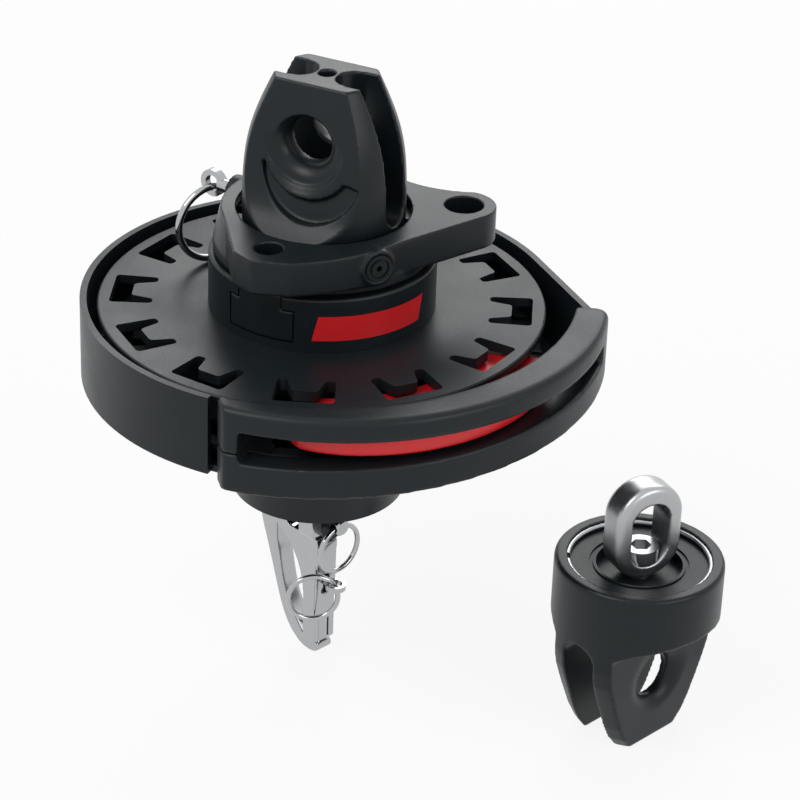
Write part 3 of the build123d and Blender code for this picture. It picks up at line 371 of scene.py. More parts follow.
def object_vector(tree):
    """Object coordinates, which every pattern reads."""
    return tree.nodes.new("ShaderNodeTexCoord").outputs["Object"]


def add_bump(tree, shader, height, strength):
    """Fine relief of the surface."""
    bump = tree.nodes.new("ShaderNodeBump")
    bump.inputs["Strength"].default_value = strength
    bump.inputs["Distance"].default_value = 0.0001
    tree.links.new(height, bump.inputs["Height"])
    tree.links.new(bump.outputs["Normal"], shader.inputs["Normal"])


def add_grain(tree, shader, vector, grain, smooth, rough):
    """Uneven gloss from the surface grain; gives back the grain's height."""
    surface = place_group(
        tree, "surface_grain", vector, Grain_Scale=grain, Smooth=smooth, Rough=rough
    )
    tree.links.new(surface.outputs["Roughness"], shader.inputs["Roughness"])
    return surface.outputs["Height"]


def worn_colour(tree, shader, vector, colour, worn, scale, amount):
    """Base colour that changes on rubbed spots."""
    wear = place_group(tree, "handling_wear", vector, Scale=scale, Amount=amount)
    mix = tree.nodes.new("ShaderNodeMix")
    mix.data_type = "RGBA"
    mix.inputs["A"].default_value = (*colour, 1)
    mix.inputs["B"].default_value = (*worn, 1)
    tree.links.new(wear.outputs["Mask"], mix.inputs["Factor"])
    tree.links.new(mix.outputs["Result"], shader.inputs["Base Color"])


def changed(colour, factor, added=0.0):
    """Colour times a factor, and lighter by an amount."""
    return [channel * factor + added for channel in colour]


def black_material(name, colour, smooth, rough, grain, bump):
    """Black finish with fine grain, uneven gloss and a little handling wear."""
    material, tree, shader = new_material(name)
    vector = object_vector(tree)
    worn = changed(colour, factor=3.2, added=0.01)
    worn_colour(tree, shader, vector, colour, worn, scale=22.0, amount=0.35)
    shader.inputs["Specular IOR Level"].default_value = 0.27
    height = add_grain(tree, shader, vector, grain, smooth, rough)
    add_bump(tree, shader, height, bump)
    return material


def steel_material(name, colour, smooth, rough, stretch, bump):
    """Stainless steel with hairlines from polishing and faint smudges."""
    material, tree, shader = new_material(name)
    vector = object_vector(tree)
    smudged = changed(colour, factor=0.82)
    worn_colour(tree, shader, vector, colour, smudged, scale=60.0, amount=0.5)
    shader.inputs["Metallic"].default_value = 1.0
    add_grain(tree, shader, vector, grain=420.0, smooth=smooth, rough=rough)
    lines = place_group(tree, "hairlines", vector, Stretch=stretch)
    add_bump(tree, shader, lines.outputs["Height"], bump)
    return material


def red_material(name, colour):
    """Slightly glossy red moulding."""
    material, tree, shader = new_material(name)
    vector = object_vector(tree)
    paler = changed(colour, factor=1.15, added=0.03)
    worn_colour(tree, shader, vector, colour, paler, scale=40.0, amount=0.5)
    height = add_grain(tree, shader, vector, grain=600.0, smooth=0.28, rough=0.4)
    add_bump(tree, shader, height, strength=0.12)
    return material


finishes = {}


def finish(name):
    """Material of a finish, made the first time it is asked for."""
    if name in finishes:
        return finishes[name]
    colours = bpy.context.scene.furler_colours
    black = tuple(colours.anodised)
    moulded = tuple(colours.moulded)
    steel = tuple(colours.steel)
    cage = (0.5, 0.38, 0.2)
    makers = {
        "black_anodised": lambda: black_material(
            "hard_anodised_black", black, smooth=0.28, rough=0.42, grain=1400.0, bump=0.14
        ),
        "black_satin": lambda: black_material(
            "satin_turned_black", black, smooth=0.24, rough=0.36, grain=900.0, bump=0.1
        ),
        "black_plastic": lambda: black_material(
            "moulded_black", moulded, smooth=0.32, rough=0.48, grain=1100.0, bump=0.18
        ),
        "red_plastic": lambda: red_material("moulded_red", tuple(colours.red)),
        "polished_steel": lambda: steel_material(
            "polished_stainless", steel, smooth=0.08, rough=0.2, stretch=0.3, bump=0.06
        ),
        "satin_steel": lambda: steel_material(
            "satin_stainless", steel, smooth=0.24, rough=0.38, stretch=8.0, bump=0.16
        ),
        "bearing_plastic": lambda: black_material(
            "bearing_plastic", cage, smooth=0.35, rough=0.5, grain=800.0, bump=0.1
        ),
    }
    finishes[name] = makers[name]()
    return finishes[name]


def dress(*names):
    """Gives CAD nodes the finish of their slot in the record."""
    slots = {part["node"]: part["material_slot"] for part in frame["record"]["subparts"]}
    for name in names:
        mesh = nodes[name].data
        material = finish(slots[name])
        if not mesh.materials:
            mesh.materials.append(material)
        for index in range(len(mesh.materials)):
            mesh.materials[index] = material


# Geometry Nodes
def new_geometry_tree(name, inputs):
    """Geometry tree with named inputs, and a dict of their identifiers."""
    tree = bpy.data.node_groups.new(name, "GeometryNodeTree")
    kinds = {
        "F": "NodeSocketFloat",
        "I": "NodeSocketInt",
        "V": "NodeSocketVector",
        "M": "NodeSocketMaterial",
    }
    names = {}
    for label, kind in inputs:
        socket = tree.interface.new_socket(label, in_out="INPUT", socket_type=kinds[kind])
        names[label] = socket.identifier
    tree.interface.new_socket("Geometry", in_out="OUTPUT", socket_type="NodeSocketGeometry")
    return tree, names, tree.nodes.new("NodeGroupInput"), tree.nodes.new("NodeGroupOutput")


def ring_points(tree, count, radius):
    """Points round the Z axis with a rotation that turns X outwards."""
    circle = tree.nodes.new("GeometryNodeMeshCircle")
    tree.links.new(count, circle.inputs["Vertices"])
    tree.links.new(radius, circle.inputs["Radius"])
    align = tree.nodes.new("FunctionNodeAlignRotationToVector")
    align.axis = "X"
    place = tree.nodes.new("GeometryNodeInputPosition")
    tree.links.new(place.outputs["Position"], align.inputs["Vector"])
    return circle.outputs["Mesh"], align.outputs["Rotation"]


def set_on_ring(tree, start, shape, end):
    """Copies of a shape on a ring of points, lifted to their place, real and painted."""
    points, turn = ring_points(tree, start.outputs["Count"], start.outputs["Radius"])
    spread = tree.nodes.new("GeometryNodeInstanceOnPoints")
    tree.links.new(points, spread.inputs["Points"])
    tree.links.new(shape, spread.inputs["Instance"])
    tree.links.new(turn, spread.inputs["Rotation"])
    lift = tree.nodes.new("GeometryNodeTransform")
    tree.links.new(spread.outputs["Instances"], lift.inputs["Geometry"])
    tree.links.new(start.outputs["Place"], lift.inputs["Translation"])
    real = tree.nodes.new("GeometryNodeRealizeInstances")
    paint = tree.nodes.new("GeometryNodeSetMaterial")
    tree.links.new(lift.outputs["Geometry"], real.inputs["Geometry"])
    tree.links.new(real.outputs["Geometry"], paint.inputs["Geometry"])
    tree.links.new(start.outputs["Material"], paint.inputs["Material"])
    tree.links.new(paint.outputs["Geometry"], end.inputs["Geometry"])


def ring_of_blocks_tree():
    """Blocks that stand radially round the Z axis, tilted to lie on a cone."""
    tree, names, start, end = new_geometry_tree(
        "ring_of_blocks",
        [
            ("Count", "I"),
            ("Radius", "F"),
            ("Size", "V"),
            ("Tilt", "V"),
            ("Place", "V"),
            ("Material", "M"),
        ],
    )
    block = tree.nodes.new("GeometryNodeMeshCube")
    tree.links.new(start.outputs["Size"], block.inputs["Size"])
    tilt = tree.nodes.new("GeometryNodeTransform")
    tree.links.new(block.outputs["Mesh"], tilt.inputs["Geometry"])
    tree.links.new(start.outputs["Tilt"], tilt.inputs["Rotation"])
    set_on_ring(tree, start, tilt.outputs["Geometry"], end)
    return tree, names


def ring_of_screws_tree():
    """Pan head screws with a hexagon socket round the Z axis, heads downwards."""
    tree, names, start, end = new_geometry_tree(
        "ring_of_screws",
        [
            ("Count", "I"),
            ("Radius", "F"),
            ("Head Radius", "F"),
            ("Head Height", "F"),
            ("Place", "V"),
            ("Material", "M"),
        ],
    )
    head = tree.nodes.new("GeometryNodeMeshCylinder")
    head.inputs["Vertices"].default_value = 32
    tree.links.new(start.outputs["Head Radius"], head.inputs["Radius"])
    tree.links.new(start.outputs["Head Height"], head.inputs["Depth"])
    socket = tree.nodes.new("GeometryNodeMeshCylinder")
    socket.inputs["Vertices"].default_value = 6
    half = add_math(tree, "MULTIPLY", start.outputs["Head Radius"], 0.5)
    tree.links.new(half, socket.inputs["Radius"])
    tree.links.new(start.outputs["Head Height"], socket.inputs["Depth"])
    down = tree.nodes.new("ShaderNodeCombineXYZ")
    drop = add_math(tree, "MULTIPLY", start.outputs["Head Height"], -0.45)
    tree.links.new(drop, down.inputs["Z"])
    lower = tree.nodes.new("GeometryNodeTransform")
    tree.links.new(socket.outputs["Mesh"], lower.inputs["Geometry"])
    tree.links.new(down.outputs["Vector"], lower.inputs["Translation"])
    cut = tree.nodes.new("GeometryNodeMeshBoolean")
    cut.operation = "DIFFERENCE"
    tree.links.new(head.outputs["Mesh"], cut.inputs["Mesh 1"])
    tree.links.new(lower.outputs["Geometry"], cut.inputs["Mesh 2"])
    set_on_ring(tree, start, cut.outputs["Mesh"], end)
    return tree, names


def piece_from_tree(name, tree, names, values, body, slot):
    """Evaluates a geometry tree once and leaves a plain mesh that rides on a body."""
    obj = bpy.data.objects.new(name, bpy.data.meshes.new(name))
    bpy.context.scene.collection.objects.link(obj)
    modifier = obj.modifiers.new("shape", "NODES")
    modifier.node_group = tree
    for label, value in values.items():
        modifier[names[label]] = value
    modifier[names["Material"]] = finish(slot)
    graph = bpy.context.evaluated_depsgraph_get()
    mesh = bpy.data.meshes.new_from_object(obj.evaluated_get(graph))
    obj.modifiers.remove(modifier)
    obj.data = mesh
    mesh.name = name
    if not mesh.polygons:
        raise RuntimeError(f"{name} came out empty")
    if not mesh.materials:
        mesh.materials.append(finish(slot))
    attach(obj, body)


# Mesh pieces
def mesh_object(name, bm):
    """Object from a bmesh with its faces turned outwards."""
    mesh = bpy.data.meshes.new(name)
    bmesh.ops.recalc_face_normals(bm, faces=bm.faces)
    bm.to_mesh(mesh)
    bm.free()
    obj = bpy.data.objects.new(name, mesh)
    bpy.context.scene.collection.objects.link(obj)
    return obj


def piece_from_bmesh(name, bm, body, slot):
    """Object from a bmesh, dressed and riding on a body."""
    obj = mesh_object(name, bm)
    obj.data.materials.append(finish(slot))
    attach(obj, body)
    return obj


# Cast and machined bodies
def face_frame(azimuth, centre, height):
    """Point on an upright axis, and the ways outwards and sideways at an azimuth."""
    out = Vector((cos(radians(azimuth)), sin(radians(azimuth)), 0))
    along = Vector((-out.y, out.x, 0))
    return Vector((*centre, height)), out, along


def prism(outline, origin, x_axis, y_axis, low, high):
    """Closed prism on an outline in millimetres, between two distances along its normal."""
    normal = x_axis.cross(y_axis)
    bm = bmesh.new()
    rings = []
    for level in (low, high):
        ring = [
            bm.verts.new(origin + (x_axis * x + y_axis * y + normal * level) * MM)
            for x, y in outline
        ]
        rings.append(ring)
    bm.faces.new(rings[0][::-1])
    bm.faces.new(rings[1])
    count = len(outline)
    for index in range(count):
        after = (index + 1) % count
        bm.faces.new((rings[0][index], rings[0][after], rings[1][after], rings[1][index]))
    return mesh_object("prism", bm)


def turned(profile, origin, axis, steps=96):
    """Closed solid turned round an axis from (radius, height) points in millimetres."""
    side = axis.orthogonal().normalized()
    other = axis.cross(side)
    bm = bmesh.new()
    rings = []
    for radius, height in profile:
        centre = origin + axis * height * MM
        if radius == 0:
            rings.append([bm.verts.new(centre)])
            continue
        ring = []
        for step in range(steps):
            angle = 2 * pi * step / steps
            ring.append(
                bm.verts.new(centre + (side * cos(angle) + other * sin(angle)) * radius * MM)
            )
        rings.append(ring)
    count = len(profile)
    for index in range(count):
        first, second = rings[index], rings[(index + 1) % count]
        for step in range(steps):
            after = (step + 1) % steps
            corners = [first[step % len(first)], first[after % len(first)]]
            corners += [second[after % len(second)], second[step % len(second)]]
            unique = list(dict.fromkeys(corners))
            if len(unique) > 2:
                bm.faces.new(unique)
    return mesh_object("turned", bm)


def merged_copy(name):
    """Copy of a CAD node's mesh with its corners joined."""
    bm = bmesh.new()
    bm.from_mesh(nodes[name].data)
    bmesh.ops.remove_doubles(bm, verts=bm.verts, dist=1e-6)
    return mesh_object(name + "_copy", bm)


def cut_out(base, tools):
    """Cuts tools out of a scratch object and deletes the tools."""
    for tool in tools:
        modifier = base.modifiers.new("tool", "BOOLEAN")
        modifier.operation = "DIFFERENCE"
        modifier.solver = "EXACT"
        modifier.object = tool
        graph = bpy.context.evaluated_depsgraph_get()
        mesh = bpy.data.meshes.new_from_object(base.evaluated_get(graph))
        base.modifiers.remove(modifier)
        base.data = mesh
        bpy.data.objects.remove(tool)
    if not base.data.polygons:
        raise RuntimeError(f"{base.name} came out empty")
    return base


def settle(name, base, body, slot, replaced):
    """Turns a scratch object's evaluated mesh into a finished piece that stands for a node."""
    graph = bpy.context.evaluated_depsgraph_get()
    mesh = bpy.data.meshes.new_from_object(base.evaluated_get(graph))
    bpy.data.objects.remove(base)
    if not mesh.polygons:
        raise RuntimeError(f"{name} came out empty")
    mesh.name = name
    mesh.materials.clear()
    mesh.materials.append(finish(slot))
    for polygon in mesh.polygons:
        polygon.use_smooth = True
    obj = bpy.data.objects.new(name, mesh)
    bpy.context.scene.collection.objects.link(obj)
    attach(obj, body)
    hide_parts(replaced)


def soften(base, voxel, rounds):
    """Evens a scratch object's mesh at a voxel size in millimetres and rounds its edges."""
    remesh = base.modifiers.new("even", "REMESH")
    remesh.mode = "VOXEL"
    remesh.voxel_size = voxel * MM
    smooth = base.modifiers.new("round", "SMOOTH")
    smooth.factor = 0.5
    smooth.iterations = rounds
    return base


def reshape(base, move):
    """Moves each corner of a scratch object's mesh by a function of its place."""
    for vertex in base.data.vertices:
        vertex.co = move(vertex.co)
    return base


def ease(value, low, high):
    """Smooth step from 0 to 1 between two values, which may fall."""
    share = min(1.0, max(0.0, (value - low) / (high - low)))
    return share * share * (3 - 2 * share)


def arc_points(centre, radius, first, last, steps):
    """Points on an arc between two angles in degrees."""
    points = []
    for step in range(steps + 1):
        angle = radians(first + (last - first) * step / steps)
        points.append((centre[0] + radius * cos(angle), centre[1] + radius * sin(angle)))
    return points


def round_off(name, node, voxel, rounds, body, slot):
    """Piece with the shape of a CAD node and rounded edges."""
    settle(name, soften(merged_copy(node), voxel, rounds), body, slot, node)


# Guard and base
def wider_dome(place):
    """Dome of the base with a wider foot and the same wall."""
    height = (place.z - FLANGE_TOP) / MM
    reach = Vector((place.x, place.y, 0))
    share = ease(height, *DOME_FOOT_HEIGHTS) * ease(reach.length / MM, *DOME_FOOT_RADII)
    if share == 0:
        return place
    return place + reach.normalized() * DOME_FOOT_SPREAD * MM * share


def rising_rail(place):
    """Lower rail that climbs towards its right end."""
    height = (place.z - FLANGE_TOP) / MM
    across = place.x / MM
    share = ease(height, *RAIL_BLEND)
    top = RAIL_TOP_RISE[0] + RAIL_TOP_RISE[1] * across
    foot = RAIL_FOOT_RISE[0] + RAIL_FOOT_RISE[1] * across
    return place + UP * (top * share + foot * (1 - share)) * MM


def post_corner():
    """Wedge that takes the outer corner off the rails' left post."""
    origin, out, along = face_frame(POST_AZIMUTH, (0, 0), FLANGE_TOP)
    return prism(POST_WEDGE, origin + out * POST_R * MM, out, along, *POST_HEIGHTS)


class FURLER_OT_guard(bpy.types.Operator):
    """Base with its dome, guard band and the two rails of the line slot"""

    bl_idname = "furler.guard"
    bl_label = "Guard and base"

    def execute(self, context):
        dress("guard_band", "stem", "stem_nut", "upper_washer")
        dome = reshape(merged_copy("base_housing"), wider_dome)
        dome.data.set_sharp_from_angle(angle=radians(35))
        settle("base_dome", dome, "base", "black_satin", "base_housing")
        upper = cut_out(merged_copy("feeder_upper"), [post_corner()])
        upper = soften(upper, voxel=0.5, rounds=34)
        settle("upper_rail", upper, "base", "black_plastic", "feeder_upper")
        lower = cut_out(merged_copy("feeder_lower"), [post_corner()])
        lower = soften(reshape(lower, rising_rail), voxel=0.5, rounds=26)
        settle("lower_rail", lower, "base", "black_plastic", "feeder_lower")
        return {"FINISHED"}


class FURLER_OT_line_stripper(bpy.types.Operator):
    """Red crescent with a round nose that lifts the line out of the groove"""

    bl_idname = "furler.line_stripper"
    bl_label = "Line stripper"

    def execute(self, context):
        outline = arc_points((0, 0), STRIPPER_INNER_R, *STRIPPER_INNER_ARC, steps=33)
        first, last = STRIPPER_NOSE_ARC
        steps = 38
        for step in range(steps + 1):
            azimuth = radians(first + (last - first) * step / steps)
            reach = STRIPPER_END_R + STRIPPER_NOSE * sin(pi * step / steps) ** STRIPPER_FULLNESS
            outline.append((reach * cos(azimuth), reach * sin(azimuth)))
        centre = Vector((0, 0, FLANGE_TOP))
        plan = (Vector((1, 0, 0)), Vector((0, 1, 0)))
        base = soften(prism(outline, centre, *plan, *STRIPPER_HEIGHTS), voxel=0.5, rounds=26)
        settle("red_stripper", base, "base", "red_plastic", "line_stripper")
        return {"FINISHED"}


# Drum
class FURLER_OT_drum(bpy.types.Operator):
    """Finish of the drum, its bearing and the race of the tack swivel"""

    bl_idname = "furler.drum"
    bl_label = "Drum"

    def execute(self, context):
        dress("hub", "upper_flange", "lower_flange", "core_ring", "drum_screws")
        dress("lower_washer", "lower_bush", "thrust_cage", "thrust_balls")
        dress("swivel_race", "swivel_balls")
        return {"FINISHED"}


def mouth_profile(bore, straight, mouth, face):
    """Both flared mouths of a pin bore, as (radius, height) points; it ends clear of the metal."""
    beyond = 14.0
    steps = 8
    flare = []
    for step in range(steps + 1):
        turn = step / steps * pi / 2
        radius = bore + (mouth - bore) * (1 - cos(turn))
        flare.append((radius, straight + (face - straight) * sin(turn)))
    upper = [*flare, (mouth + 0.6, face + 0.2), (mouth + 3.4, face + beyond)]
    lower = [(radius, -height) for radius, height in reversed(upper)]
    return [(0, -face - beyond), *lower, *upper, (0, face + beyond)]


class FURLER_OT_jaw(bpy.types.Operator):
    """Fork of the drum with soft edges and a pocket under each pin mouth, and its key"""

    bl_idname = "furler.jaw"
    bl_label = "Jaw"

    def execute(self, context):
        origin, out, along = face_frame(JAW_AZIMUTH, (0, 0), FLANGE_TOP)
        lean = radians(CHEEK_LEAN)
        outline = arc_points(POCKET_CENTRE, POCKET_R, first=183, last=347, steps=30)
        outline += arc_points(LIP_CENTRE, LIP_R, first=327, last=203, steps=24)
        pocket = [(across, (height - JAW_PIN_HEIGHT) / cos(lean)) for across, height in outline]
        tools = []
        for side in (1, -1):
            face = out * side
            up = UP * cos(lean) - face * sin(lean)
            start = origin + (UP * JAW_PIN_HEIGHT + face * CHEEK_FACE) * MM
            tools.append(prism(pocket, start, along * side, up, low=-POCKET_DEPTH, high=14.0))
        mouths = mouth_profile(PIN_BORE_R, straight=8.6, mouth=13.4, face=15.0)
        tools.append(turned(mouths, origin + UP * JAW_PIN_HEIGHT * MM, out))
        base = soften(cut_out(merged_copy("jaw"), tools), voxel=0.55, rounds=6)
        settle("drum_jaw", base, "drum", "black_anodised", "jaw")
        round_off("sleeve_key", "hub_key", 0.35, 5, "drum", "black_anodised")
        return {"FINISHED"}


class FURLER_OT_grip_ribs(bpy.types.Operator):
    """Radial ribs on the inner faces of the flanges"""

    bl_idname = "furler.grip_ribs"
    bl_label = "Grip ribs"

    def execute(self, context):
        sizes = context.scene.furler_sizes
        tree, names = ring_of_blocks_tree()
        slope = (ROOT_THICKNESS - RIM_THICKNESS) / (FLANGE_R - ROOT_R)
        for name, height, side in (
            ("upper_grip_ribs", FLANGE_TOP - RIB_DEPTH * MM, -1),
            ("lower_grip_ribs", LOWER_FLANGE_BOTTOM + RIB_DEPTH * MM, 1),
        ):
            values = {
                "Count": sizes.rib_count,
                "Radius": RIB_R * MM,
                "Size": (RIB_LENGTH * MM, RIB_WIDTH * MM, 2 * sizes.rib_height),
                "Tilt": (0.0, side * slope, 0.0),
                "Place": (0.0, 0.0, height),
            }
            piece_from_tree(name, tree, names, values, "drum", "black_plastic")
        return {"FINISHED"}


# Small parts
class FURLER_OT_base_screws(bpy.types.Operator):
    """Screws under the floor of the base"""

    bl_idname = "furler.base_screws"
    bl_label = "Base screws"

    def execute(self, context):
        sizes = context.scene.furler_sizes
        tree, names = ring_of_screws_tree()
        values = {
            "Count": sizes.screw_count,
            "Radius": SCREW_RING_R * MM,
            "Head Radius": SCREW_HEAD_R * MM,
            "Head Height": SCREW_HEAD_HEIGHT * MM,
            "Place": (0.0, 0.0, BAND_BOTTOM - SCREW_DROP * MM),
        }
        piece_from_tree("base_screws", tree, names, values, "base", "satin_steel")
        return {"FINISHED"}


class FURLER_OT_sleeve_mark(bpy.types.Operator):
    """Plain red mark printed round the front of the sleeve"""

    bl_idname = "furler.sleeve_mark"
    bl_label = "Sleeve mark"

    def execute(self, context):
        height = context.scene.furler_sizes.mark_height
        low = FLANGE_TOP + MARK_FOOT * MM
        radius = (SLEEVE_R + MARK_LIFT) * MM
        first, last = MARK_ARC
        steps = 60
        bm = bmesh.new()
        rows = []
        for row in range(2):
            ring = []
            for step in range(steps + 1):
                angle = radians(first + row * MARK_LEAN + (last - first) * step / steps)
                place = (radius * cos(angle), radius * sin(angle), low + row * height)
                ring.append(bm.verts.new(place))
            rows.append(ring)
        for step in range(steps):
            bm.faces.new((rows[0][step], rows[0][step + 1], rows[1][step + 1], rows[1][step]))
        obj = piece_from_bmesh("sleeve_mark", bm, "drum", "red_plastic")
        for polygon in obj.data.polygons:
            polygon.use_smooth = True
        return {"FINISHED"}


# Tack swivel and shackle
class FURLER_OT_tack_swivel(bpy.types.Operator):
    """Tack swivel with soft edges, and the finish of its plug, lock pin and pull ring"""

    bl_idname = "furler.tack_swivel"
    bl_label = "Tack swivel"

    def execute(self, context):
        dress("flush_plug", "lock_pin", "pull_ring")
        round_off("tack_plate", "tack_swivel", 0.45, 5, "tack", "black_anodised")
        return {"FINISHED"}


class FURLER_OT_shackle(bpy.types.Operator):
    """Snap shackle with a rounded body and bail, and the finish of its pins and rings"""

    bl_idname = "furler.shackle"
    bl_label = "Snap shackle"

    def execute(self, context):
        dress("clevis_pin", "bail_pin", "shackle_plunger")
        round_off("forged_body", "shackle_body", 0.3, 14, "shackle", "polished_steel")
        round_off("forged_bail", "shackle_bail", 0.3, 24, "bail", "polished_steel")
        dress("clevis_ring", "plunger_ring")
        return {"FINISHED"}


# Head swivel
def lower_eye(place):
    """Eye of the head swivel with a slightly lower crown."""
    return Vector((place.x, place.y, EYE_FOOT + (place.z - EYE_FOOT) * EYE_SHARE))


def narrow_foot(place):
    """Head fork whose legs grow narrower towards their tips."""
    centre, along = face_frame(HEAD_AZIMUTH, HEAD_AXIS, place.z)[::2]
    share = ease(place.z, *(height * MM for height in LEG_HEIGHTS))
    return place - along * (place - centre).dot(along) * LEG_NARROWING * share


def fork_slot(half, root, end):
    """Outline of a slot with a round root at the top, open downwards."""
    arc = arc_points((0, root - half), half, first=0, last=180, steps=24)
    return [*arc, (arc[-1][0], end), (arc[0][0], end)]


class FURLER_OT_head_swivel(bpy.types.Operator):
    """Head swivel's turned and cut fork, its eye, and the finish of its other parts"""

    bl_idname = "furler.head_swivel"
    bl_label = "Head swivel"

    def execute(self, context):
        dress("head_snap_ring", "head_cover", "head_balls", "head_nut", "head_bolt")
        rim, out = face_frame(HEAD_AZIMUTH, HEAD_AXIS, HEAD_TOP)[:2]
        cup = [(0, -HEAD_CUP_DEPTH), (HEAD_CUP_R, -HEAD_CUP_DEPTH), (HEAD_CUP_R, 0)]
        outer = [(27.9, 0), (28.5, -0.6), (28.7, -1.4), (28.7, -31.0), (28.2, -37.0)]
        outer += [(26.9, -43.0), (25.2, -50.0), (23.2, -57.0), (20.6, -62.5), (17.0, -67.0)]
        body = turned([*cup, *outer, (0, outer[-1][1])], rim, UP, steps=144)
        wide, below = 40.0, -70.0
        brow = [(12.8, -25.7), (15.2, -24.3), (17.9, -22.8), (23.2, -21.0), (28.7, -19.3)]
        flat = [*brow, (wide, -17.0), (wide, below), (11.8, below), (12.8, -HEAD_PIN_DEPTH)]
        slot = fork_slot(half=6.5, root=-23.5, end=below)
        mouths = mouth_profile(PIN_BORE_R, straight=8.2, mouth=15.6, face=12.8)
        tools = [
            prism(flat, rim, out, UP, -wide, wide),
            prism(flat, rim, -out, UP, -wide, wide),
            prism(slot, rim, out, UP, -wide, wide),
            turned(mouths, rim - UP * HEAD_PIN_DEPTH * MM, out),
        ]
        body = soften(reshape(cut_out(body, tools), narrow_foot), voxel=0.6, rounds=7)
        settle("head_fork", body, "base", "black_anodised", "head_body")
        eye = soften(reshape(merged_copy("head_eye"), lower_eye), voxel=0.35, rounds=26)
        settle("forged_eye", eye, "head_swivel", "satin_steel", "head_eye")
        return {"FINISHED"}


# Stage
def seen_rays(tree):
    """1 for rays that come from the camera, a mirror or glass, otherwise 0."""
    path = tree.nodes.new("ShaderNodeLightPath")
    seen = add_math(tree, "MAXIMUM", path.outputs["Is Camera Ray"], path.outputs["Is Glossy Ray"])
    return add_math(tree, "MAXIMUM", seen, path.outputs["Is Transmission Ray"])


def stage_material():
    """Pale floor that reads as white to the camera and still takes a soft shadow."""
    material, tree, shader = new_material("pale_floor")
    shader.inputs["Base Color"].default_value = (0.86, 0.86, 0.86, 1)
    shader.inputs["Roughness"].default_value = 0.9
    glow = tree.nodes.new("ShaderNodeEmission")
    glow.inputs["Color"].default_value = (1, 1, 1, 1)
    share = add_math(tree, "MULTIPLY", seen_rays(tree), FLOOR_GLOW)
    mix = tree.nodes.new("ShaderNodeMixShader")
    tree.links.new(share, mix.inputs["Fac"])
    tree.links.new(shader.outputs["BSDF"], mix.inputs[1])
    tree.links.new(glow.outputs["Emission"], mix.inputs[2])
    tree.links.new(mix.outputs["Shader"], tree.nodes["Material Output"].inputs["Surface"])
    return material


def add_lamp(name, place, size, power):
    """Soft rectangular lamp that looks at the drum."""
    light = bpy.data.lights.new(name, "AREA")
    light.shape = "RECTANGLE"
    light.size = size[0]
    light.size_y = size[1]
    light.energy = power
    lamp = bpy.data.objects.new(name, light)
    lamp.location = place
    lamp.rotation_euler = (Vector(LAMP_TARGET) - Vector(place)).to_track_quat("-Z", "Y").to_euler()
    bpy.context.scene.collection.objects.link(lamp)


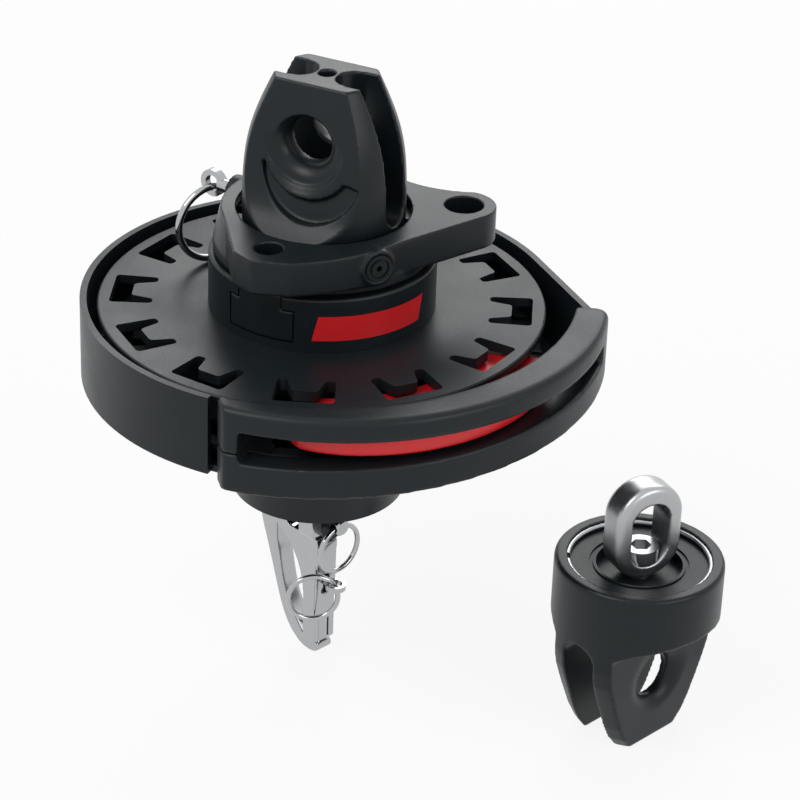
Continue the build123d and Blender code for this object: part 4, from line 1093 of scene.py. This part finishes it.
class FURLER_OT_stage(bpy.types.Operator):
    """Floor, lamps, world and camera"""

    bl_idname = "furler.stage"
    bl_label = "Stage"

    def execute(self, context):
        scene = context.scene
        scene.view_settings.view_transform = "Standard"
        floor = bpy.data.meshes.new("floor")
        level = cad_low[2] - FLOOR_GAP
        ways = ((-1, -1), (1, -1), (1, 1), (-1, 1))
        corners = [(FLOOR_REACH * x, FLOOR_REACH * y, level) for x, y in ways]
        floor.from_pydata(corners, [], [(0, 1, 2, 3)])
        floor.materials.append(stage_material())
        ground = bpy.data.objects.new("floor", floor)
        scene.collection.objects.link(ground)
        ground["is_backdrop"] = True

        world = bpy.data.worlds.new("studio")
        scene.world = world
        world.use_nodes = True
        tree = world.node_tree
        back = tree.nodes["Background"]
        back.inputs["Color"].default_value = (1, 1, 1, 1)
        strength = add_map(tree, seen_rays(tree), low=0.0, high=1.0, to_low=SKY_LIGHT, to_high=1.0)
        tree.links.new(strength, back.inputs["Strength"])

        add_lamp("key", (-0.75, -0.55, 1.15), size=(0.8, 0.8), power=9.0)
        add_lamp("fill", (1.1, -0.9, 0.7), size=(0.9, 0.6), power=4.5)
        add_lamp("back", (0.2, 1.2, 0.9), size=(1.2, 0.5), power=7.0)

        camera = bpy.data.cameras.new("camera")
        camera.sensor_width = 36.0
        camera.lens = 135.0
        camera.clip_start = 0.01
        eye = bpy.data.objects.new("camera", camera)
        eye.location = CAMERA_PLACE
        eye.rotation_euler = CAMERA_TURN
        scene.collection.objects.link(eye)
        scene.camera = eye
        return {"FINISHED"}


class FURLER_PT_panel(bpy.types.Panel):
    """Lists the furler's pieces"""

    bl_idname = "FURLER_PT_panel"
    bl_label = "Furler"
    bl_space_type = "VIEW_3D"
    bl_region_type = "UI"
    bl_category = "Furler"

    def draw(self, context):
        layout = self.layout
        for group in (context.scene.furler_colours, context.scene.furler_sizes):
            for name in group.__annotations__:
                layout.prop(group, name)
        for operator in operators:
            layout.operator(operator.bl_idname)


operators = (
    FURLER_OT_guard,
    FURLER_OT_line_stripper,
    FURLER_OT_drum,
    FURLER_OT_jaw,
    FURLER_OT_grip_ribs,
    FURLER_OT_base_screws,
    FURLER_OT_sleeve_mark,
    FURLER_OT_tack_swivel,
    FURLER_OT_shackle,
    FURLER_OT_head_swivel,
    FURLER_OT_stage,
)
classes = (FurlerColours, FurlerSizes, *operators, FURLER_PT_panel)


def register():
    """Adds the classes and the scene's properties."""
    for item in classes:
        bpy.utils.register_class(item)
    bpy.types.Scene.furler_colours = PointerProperty(type=FurlerColours)
    bpy.types.Scene.furler_sizes = PointerProperty(type=FurlerSizes)


def unregister():
    """Takes them away again."""
    del bpy.types.Scene.furler_sizes
    del bpy.types.Scene.furler_colours
    for item in reversed(classes):
        bpy.utils.unregister_class(item)


def main():
    """Makes the pieces in order."""
    register()
    bpy.ops.furler.guard()
    bpy.ops.furler.line_stripper()
    bpy.ops.furler.drum()
    bpy.ops.furler.jaw()
    bpy.ops.furler.grip_ribs()
    bpy.ops.furler.base_screws()
    bpy.ops.furler.sleeve_mark()
    bpy.ops.furler.tack_swivel()
    bpy.ops.furler.shackle()
    bpy.ops.furler.head_swivel()
    bpy.ops.furler.stage()


if __name__ == "__main__":
    main()
